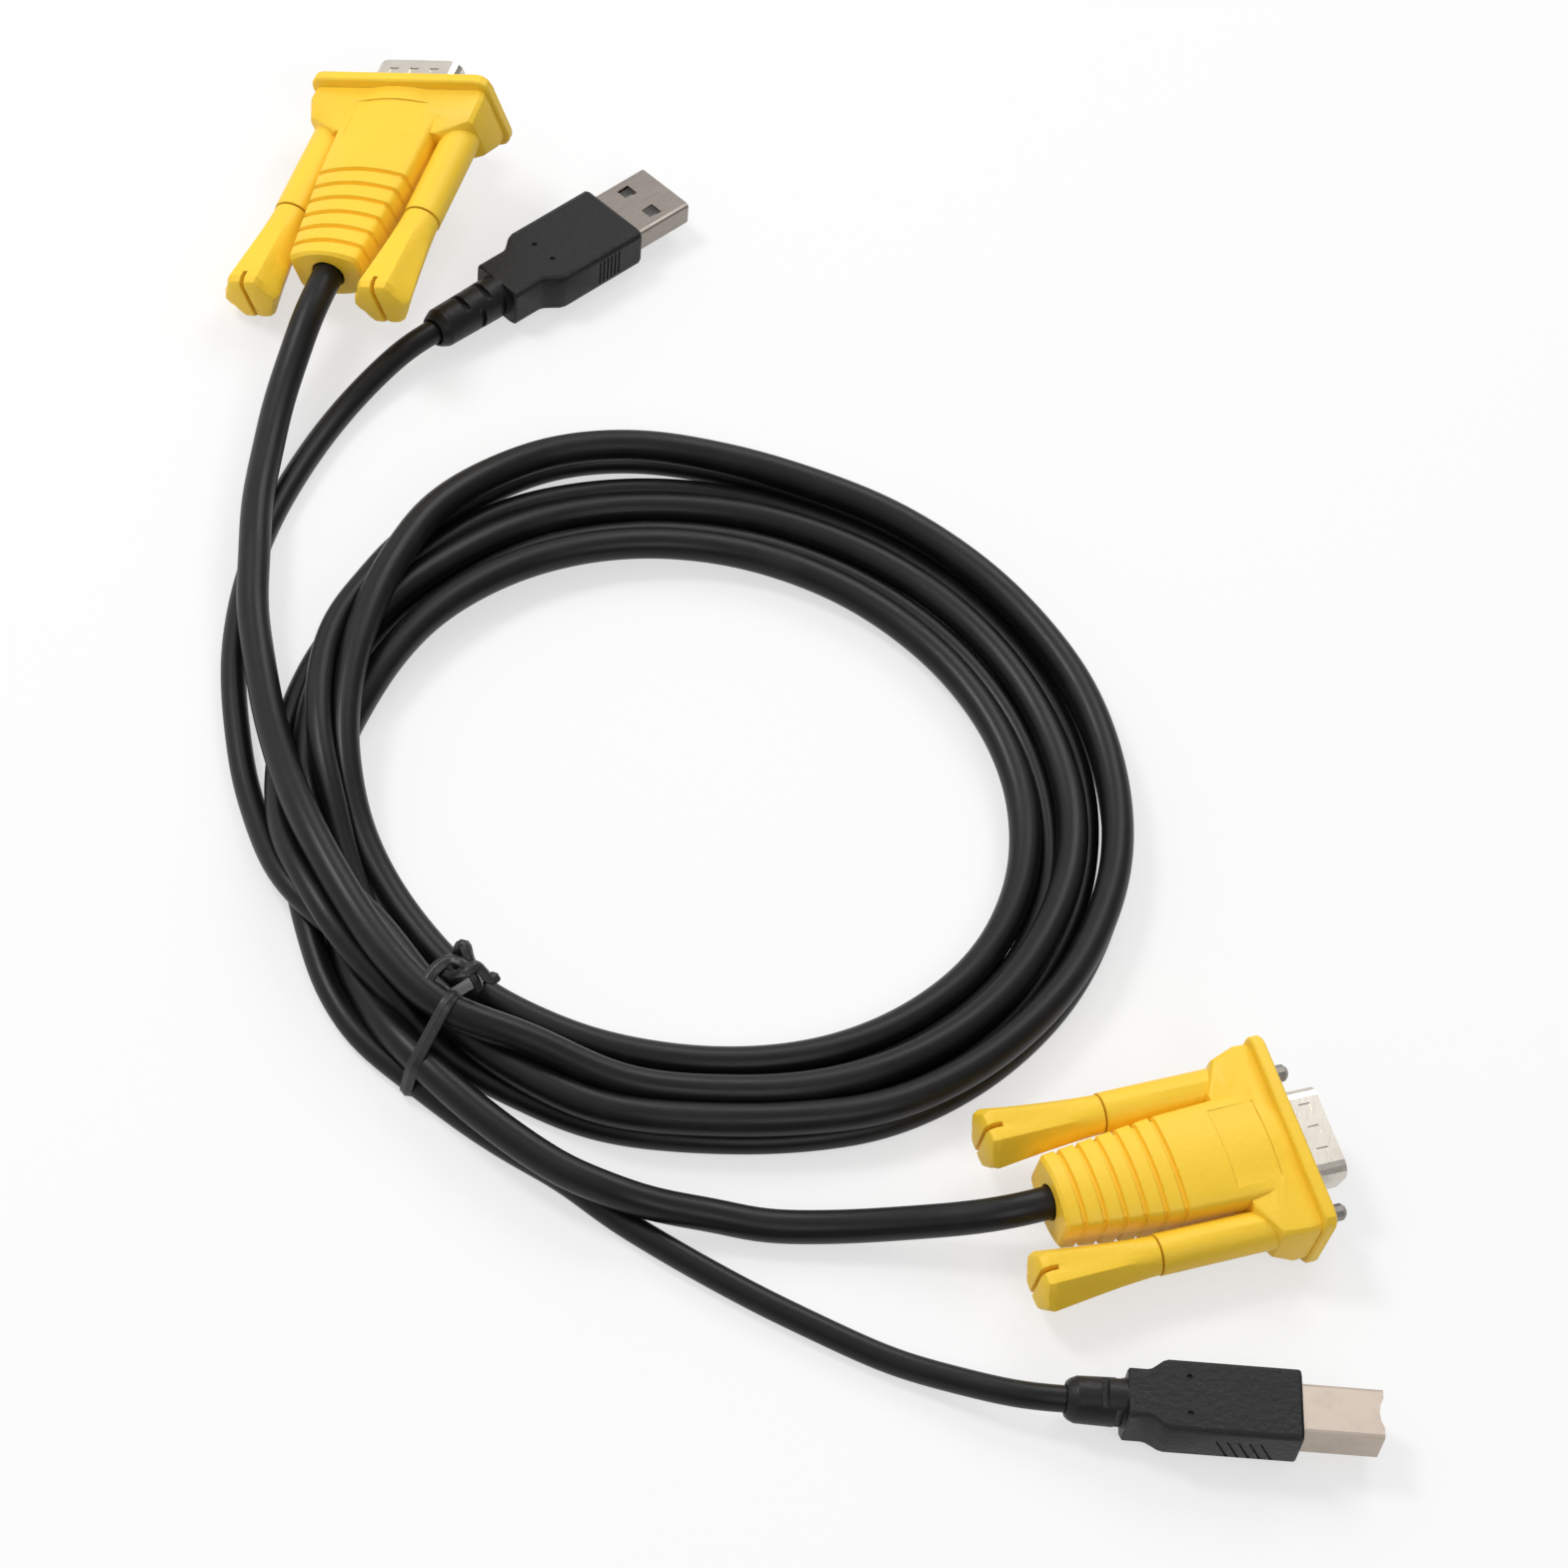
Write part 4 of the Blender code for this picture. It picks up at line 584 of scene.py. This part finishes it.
def makeMouldGroup(look):
    # moulded plastic: cloudy colour and gloss from a broad noise, a fine spark-eroded grain as height
    tree, into, out = newGroup("mouldSurface", [
        ("Colour", colourKind, (0.5, 0.5, 0.5, 1)), ("Spread", floatKind, 0.03), ("Roughness", floatKind, 0.4),
        ("Mottle", floatKind, 0.1), ("Grain Scale", floatKind, 1800.0), ("Flow Scale", floatKind, 70.0),
    ], surfaceOutputs)
    spot = addNode(tree, "ShaderNodeTexCoord").outputs["Object"]
    broad = noise(tree, spot, into.outputs["Flow Scale"], look["cloudDetail"])
    fine = noise(tree, spot, into.outputs["Grain Scale"], look["fineDetail"])
    speckScale = calc(tree, "MULTIPLY", into.outputs["Grain Scale"], look["specks"])
    speck = addNode(tree, "ShaderNodeTexVoronoi", {"Vector": spot, "Scale": speckScale})
    cloud = calc(tree, "SUBTRACT", broad, 0.5)
    shade = calc(tree, "MULTIPLY_ADD", calc(tree, "MULTIPLY", cloud, look["cloudGain"]), into.outputs["Spread"], 1.0)
    tinted = addNode(tree, "ShaderNodeVectorMath", {0: into.outputs["Colour"], "Scale": shade}, operation="SCALE")
    grit = calc(tree, "SUBTRACT", fine, 0.5)
    mottle = calc(tree, "ADD", cloud, calc(tree, "MULTIPLY", grit, look["gritShare"]))
    gloss = calc(tree, "MULTIPLY_ADD", mottle, into.outputs["Mottle"], into.outputs["Roughness"])
    lowest, highest = look["glossLimits"]
    return feed(tree, out, {
        "Colour": tinted.outputs[0],
        "Roughness": calc(tree, "MINIMUM", calc(tree, "MAXIMUM", gloss, lowest), highest),
        "Height": calc(tree, "MULTIPLY_ADD", speck.outputs["Distance"], look["speckShare"], fine)})


metalLook = {
    "stretch": (1.0, 0.06, 1.0),     # the streaks run where this is small
    "streakDetail": 3.0, "streakGloss": 0.28,
    "cloudScale": 260.0, "cloudDetail": 5.0, "cloudRoughness": 0.6,
    "tarnish": {"From Min": 0.48, "From Max": 0.75, "To Max": 0.55},
    "tarnishGloss": 0.16,
}


def makeMetalGroup(look):
    # plated sheet: long drawn streaks from a stretched noise, small tarnish clouds
    tree, into, out = newGroup("platedSurface", [
        ("Colour", colourKind, (0.6, 0.6, 0.6, 1)), ("Tarnish", colourKind, (0.4, 0.35, 0.3, 1)),
        ("Roughness", floatKind, 0.3), ("Turn", floatKind, 0.0), ("Streak Scale", floatKind, 2600.0),
    ], surfaceOutputs)
    spot = addNode(tree, "ShaderNodeTexCoord").outputs["Object"]
    turned = addNode(tree, "ShaderNodeVectorRotate", {
        "Vector": spot, "Axis": (0, 0, 1), "Angle": into.outputs["Turn"]}).outputs[0]
    stretched = addNode(tree, "ShaderNodeVectorMath", {0: turned, 1: look["stretch"]}, operation="MULTIPLY")
    streak = noise(tree, stretched.outputs[0], into.outputs["Streak Scale"], look["streakDetail"])
    cloud = noise(tree, spot, look["cloudScale"], look["cloudDetail"], look["cloudRoughness"])
    patch = addNode(tree, "ShaderNodeMapRange", {"Value": cloud, **look["tarnish"]}).outputs[0]
    dulled = calc(tree, "MULTIPLY_ADD", patch, look["tarnishGloss"], into.outputs["Roughness"])
    return feed(tree, out, {
        "Colour": mixColours(tree, patch, into.outputs["Colour"], into.outputs["Tarnish"]),
        "Roughness": calc(tree, "MULTIPLY_ADD", calc(tree, "SUBTRACT", streak, 0.5), look["streakGloss"], dulled),
        "Height": streak})


jacketLook = {
    "alongScale": 14.0,              # the draw lines are long, so this is small next to their number
    "lineScale": 0.5, "lineDetail": 2.0, "lineGloss": 0.22,
    "rubScale": 85.0, "rubDetail": 6.0, "rubRoughness": 0.62, "rubGloss": 0.1,
    "rubbed": {"From Min": 0.5, "From Max": 0.72},
    "fineScale": 2600.0, "fineDetail": 2.0,
    "heights": {"twist": 1.4, "lines": 0.7, "fine": 0.35},
}


def makeJacketGroup(look):
    # extruded vinyl: lengthwise draw lines on the UV, the slow twist of the wires inside, rubbed patches
    tree, into, out = newGroup("jacketSurface", [
        ("Colour", colourKind, (0.02, 0.02, 0.02, 1)), ("Rubbed", colourKind, (0.05, 0.05, 0.05, 1)),
        ("Roughness", floatKind, 0.4), ("Twist Pitch", floatKind, 0.04), ("Lines", floatKind, 30.0),
    ], surfaceOutputs)
    coords = addNode(tree, "ShaderNodeTexCoord")
    along, around = addNode(tree, "ShaderNodeSeparateXYZ", {0: coords.outputs["UV"]}).outputs[:2]
    turn = calc(tree, "MULTIPLY", around, 2 * math.pi)
    lineSpot = addNode(tree, "ShaderNodeCombineXYZ", {
        0: calc(tree, "MULTIPLY", along, look["alongScale"]),
        1: calc(tree, "MULTIPLY", calc(tree, "COSINE", turn), into.outputs["Lines"]),
        2: calc(tree, "MULTIPLY", calc(tree, "SINE", turn), into.outputs["Lines"])})
    spot, heights = coords.outputs["Object"], look["heights"]
    drawn = noise(tree, lineSpot.outputs[0], look["lineScale"], look["lineDetail"])
    rub = noise(tree, spot, look["rubScale"], look["rubDetail"], look["rubRoughness"])
    fine = noise(tree, spot, look["fineScale"], look["fineDetail"])
    worn = addNode(tree, "ShaderNodeMapRange", {"Value": rub, **look["rubbed"]}).outputs[0]
    twist = calc(tree, "DIVIDE", calc(tree, "MULTIPLY", along, 2 * math.pi), into.outputs["Twist Pitch"])
    swell = calc(tree, "SINE", calc(tree, "ADD", turn, twist))
    small = calc(tree, "MULTIPLY_ADD", drawn, heights["lines"], calc(tree, "MULTIPLY", fine, heights["fine"]))
    lineGloss = calc(tree, "MULTIPLY", calc(tree, "SUBTRACT", drawn, 0.5), look["lineGloss"])
    lined = calc(tree, "ADD", lineGloss, into.outputs["Roughness"])
    return feed(tree, out, {
        "Colour": mixColours(tree, worn, into.outputs["Colour"], into.outputs["Rubbed"]),
        "Roughness": calc(tree, "MULTIPLY_ADD", worn, look["rubGloss"], lined),
        "Height": calc(tree, "MULTIPLY_ADD", swell, heights["twist"], small)})


surfaceGroups = {
    "mould": makeMouldGroup(mouldLook), "plated": makeMetalGroup(metalLook), "jacket": makeJacketGroup(jacketLook)}
edgeSamples = 4        # rays of the Bevel node


def makeMaterial(name, group, inputs, bumpDistance, shader, softEdge=0.0):
    # a Principled shader fed by one surface group; constants are set on the shader's own sockets
    material = bpy.data.materials.new(name)
    material.use_nodes = True
    tree = material.node_tree
    principled = tree.nodes["Principled BSDF"]
    surface = tree.nodes.new("ShaderNodeGroup")
    surface.node_tree = surfaceGroups[group]
    for label, value in inputs.items():
        surface.inputs[label].default_value = (*value, 1) if isinstance(value, tuple) else value
    bump = addNode(tree, "ShaderNodeBump", {
        "Strength": 1.0, "Distance": bumpDistance, "Height": surface.outputs["Height"]})
    if softEdge:
        rounded = addNode(tree, "ShaderNodeBevel", {"Radius": softEdge}, samples=edgeSamples)
        tree.links.new(rounded.outputs[0], bump.inputs["Normal"])
    tree.links.new(surface.outputs["Colour"], principled.inputs["Base Color"])
    tree.links.new(surface.outputs["Roughness"], principled.inputs["Roughness"])
    tree.links.new(bump.outputs["Normal"], principled.inputs["Normal"])
    for label, value in shader.items():
        principled.inputs[label].default_value = value
    return material


# Each finish: its surface group's values, the depth of its bump in metres, the shader's own values, and the radius
# in metres by which hard edges look rounded.
yellow = (0.97, 0.625, 0.035)
finishes = {
    "hood": makeMaterial("yellow_moulding", "mould", {
        "Colour": yellow, "Spread": 0.035, "Roughness": 0.47, "Mottle": 0.22, "Grain Scale": 1500.0}, 0.00005,
        {"Specular IOR Level": 0.42}, 0.00025),
    "knob": makeMaterial("yellow_grip", "mould", {
        "Colour": yellow, "Spread": 0.045, "Roughness": 0.5, "Mottle": 0.25, "Grain Scale": 1700.0}, 0.00005,
        {"Specular IOR Level": 0.4}, 0.00025),
    "nickel": makeMaterial("nickel_sheet", "plated", {
        "Colour": (0.65, 0.605, 0.54), "Tarnish": (0.5, 0.46, 0.4), "Roughness": 0.29}, 0.000006, {"Metallic": 1.0}),
    "dark_nickel": makeMaterial("dark_nickel_sheet", "plated", {
        "Colour": (0.3, 0.267, 0.238), "Tarnish": (0.24, 0.21, 0.185), "Roughness": 0.3, "Turn": 0.6}, 0.000006,
        {"Metallic": 1.0}),
    "warm_nickel": makeMaterial("warm_nickel_sheet", "plated", {
        "Colour": (0.47, 0.4, 0.34), "Tarnish": (0.4, 0.34, 0.29), "Roughness": 0.36, "Turn": 0.4}, 0.000006,
        {"Metallic": 1.0}),
    "screw": makeMaterial("screw_steel", "plated", {
        "Colour": (0.3, 0.28, 0.26), "Tarnish": (0.2, 0.18, 0.16), "Roughness": 0.34, "Turn": 1.1}, 0.000008,
        {"Metallic": 1.0}),
    "contact": makeMaterial("contact_gold", "plated", {
        "Colour": (0.86, 0.66, 0.32), "Tarnish": (0.66, 0.46, 0.2), "Roughness": 0.26}, 0.000004, {"Metallic": 1.0}),
    "insulator": makeMaterial("black_insulator", "mould", {
        "Colour": (0.02, 0.02, 0.022), "Spread": 0.1, "Roughness": 0.5, "Mottle": 0.2, "Grain Scale": 2400.0},
        0.00003, {"Specular IOR Level": 0.45}),
    "white_insulator": makeMaterial("white_insulator", "mould", {
        "Colour": (0.78, 0.78, 0.75), "Spread": 0.02, "Roughness": 0.42, "Mottle": 0.15, "Grain Scale": 2400.0},
        0.00002, {"Specular IOR Level": 0.45}),
    "overmould": makeMaterial("black_overmould", "mould", {
        "Colour": (0.008, 0.008, 0.0084), "Spread": 0.12, "Roughness": 0.42, "Mottle": 0.3, "Grain Scale": 1300.0},
        0.00006, {"Specular IOR Level": 0.28}, 0.0003),
    "jacket": makeMaterial("black_jacket", "jacket", {
        "Colour": (0.006, 0.006, 0.0062), "Rubbed": (0.011, 0.0105, 0.0102), "Roughness": 0.36}, 0.00003,
        {"Specular IOR Level": 0.27}),
    "tie": makeMaterial("tie_plastic", "mould", {
        "Colour": (0.02, 0.018, 0.0185), "Spread": 0.15, "Roughness": 0.38, "Mottle": 0.3, "Grain Scale": 1600.0},
        0.00005, {"Specular IOR Level": 0.4}),
}
for piece in (videoPiece, dataPiece):
    piece.data.materials.append(finishes["jacket"])
tiePiece.data.materials.append(finishes["tie"])
for name, node in frame["nodes"].items():
    recordSlot = node.material_slots[0].material.name.split(".")[0]
    finish = finishes["dark_nickel" if name == "usb_a_shell" else recordSlot]
    node.material_slots[0].material = finish
    if name in skins:
        skins[name].data.materials.clear()
        skins[name].data.materials.append(finish)

print("stage: floor and lights")
floorSetup = {
    "size": 6.0,
    "colour": (0.93, 0.93, 0.93),
    "roughness": 0.9,
    "specular": 0.1,
    "paper": 0.62,         # how much of it the camera sees as plain white
}
lightSetup = {
    "key": {"at": (-0.6, 0.12, 0.85), "size": 0.24, "power": 3.8},
    "back": {"at": (0.12, 0.8, 0.8), "size": 0.5, "power": 3.2},
    "front": {"at": (0.5, -0.6, 0.8), "size": 0.4, "power": 1.9},
}
worldSetup = {
    "fill": 0.75,
    "darkest": 0.22,       # share of the fill that the dark side keeps
    "darkFrom": -0.3,      # cosine of the angle to the bright side
    "brightSide": (-0.72, 0.42, 0.55),
}


def raySwitches(tree):
    # 1 for camera rays, and 1 for camera, glossy and transmission rays
    rays = tree.nodes.new("ShaderNodeLightPath").outputs
    mirrored = calc(tree, "MAXIMUM", rays["Is Glossy Ray"], rays["Is Transmission Ray"])
    return rays["Is Camera Ray"], calc(tree, "MAXIMUM", rays["Is Camera Ray"], mirrored)


def makeFloor(setup):
    # a pale sheet that the camera and mirror rays see partly as plain white
    half = setup["size"] / 2
    corners = [(-half, -half, 0), (half, -half, 0), (half, half, 0), (-half, half, 0)]
    floor = addMesh("floor", corners, [[0, 1, 2, 3]], smooth=False)
    material = bpy.data.materials.new("floor_paper")
    material.use_nodes = True
    tree = material.node_tree
    principled = tree.nodes["Principled BSDF"]
    principled.inputs["Base Color"].default_value = (*setup["colour"], 1)
    principled.inputs["Roughness"].default_value = setup["roughness"]
    principled.inputs["Specular IOR Level"].default_value = setup["specular"]
    white = tree.nodes.new("ShaderNodeEmission")
    share = calc(tree, "MULTIPLY", raySwitches(tree)[1], setup["paper"])
    mixed = addNode(tree, "ShaderNodeMixShader", {0: share})
    tree.links.new(principled.outputs[0], mixed.inputs[1])
    tree.links.new(white.outputs[0], mixed.inputs[2])
    tree.links.new(mixed.outputs[0], tree.nodes["Material Output"].inputs["Surface"])
    floor.data.materials.append(material)


def makeLight(name, at, size, power):
    # a square lamp that faces the middle of the frame
    data = bpy.data.lights.new(name, "AREA")
    data.shape, data.size, data.energy = "SQUARE", size, power
    light = bpy.data.objects.new(name, data)
    scene.collection.objects.link(light)
    light.location = at
    light.rotation_euler = (-light.location).to_track_quat("-Z", "Y").to_euler()


def makeWorld(setup):
    # soft fill, brighter from the left and behind; the camera sees plain white
    world = bpy.data.worlds.new("studio")
    world.use_nodes = True
    tree = world.node_tree
    background = tree.nodes["Background"]
    background.inputs["Color"].default_value = (1, 1, 1, 1)
    cameraRay, seen = raySwitches(tree)
    strength = addNode(tree, "ShaderNodeMapRange", {"Value": seen, "To Min": setup["fill"], "To Max": 1.0})
    direction = addNode(tree, "ShaderNodeTexCoord").outputs["Generated"]
    facing = addNode(tree, "ShaderNodeVectorMath", {0: direction, 1: setup["brightSide"]}, operation="DOT_PRODUCT")
    side = addNode(tree, "ShaderNodeMapRange", {
        "Value": facing.outputs["Value"], "From Min": setup["darkFrom"], "From Max": 1.0,
        "To Min": setup["darkest"], "To Max": 1.0})
    share = calc(tree, "MAXIMUM", side.outputs[0], cameraRay)
    tree.links.new(calc(tree, "MULTIPLY", strength.outputs[0], share), background.inputs["Strength"])
    scene.world = world


makeFloor(floorSetup)
for name, setup in lightSetup.items():
    makeLight(name, **setup)
makeWorld(worldSetup)
scene.view_settings.view_transform = "Standard"
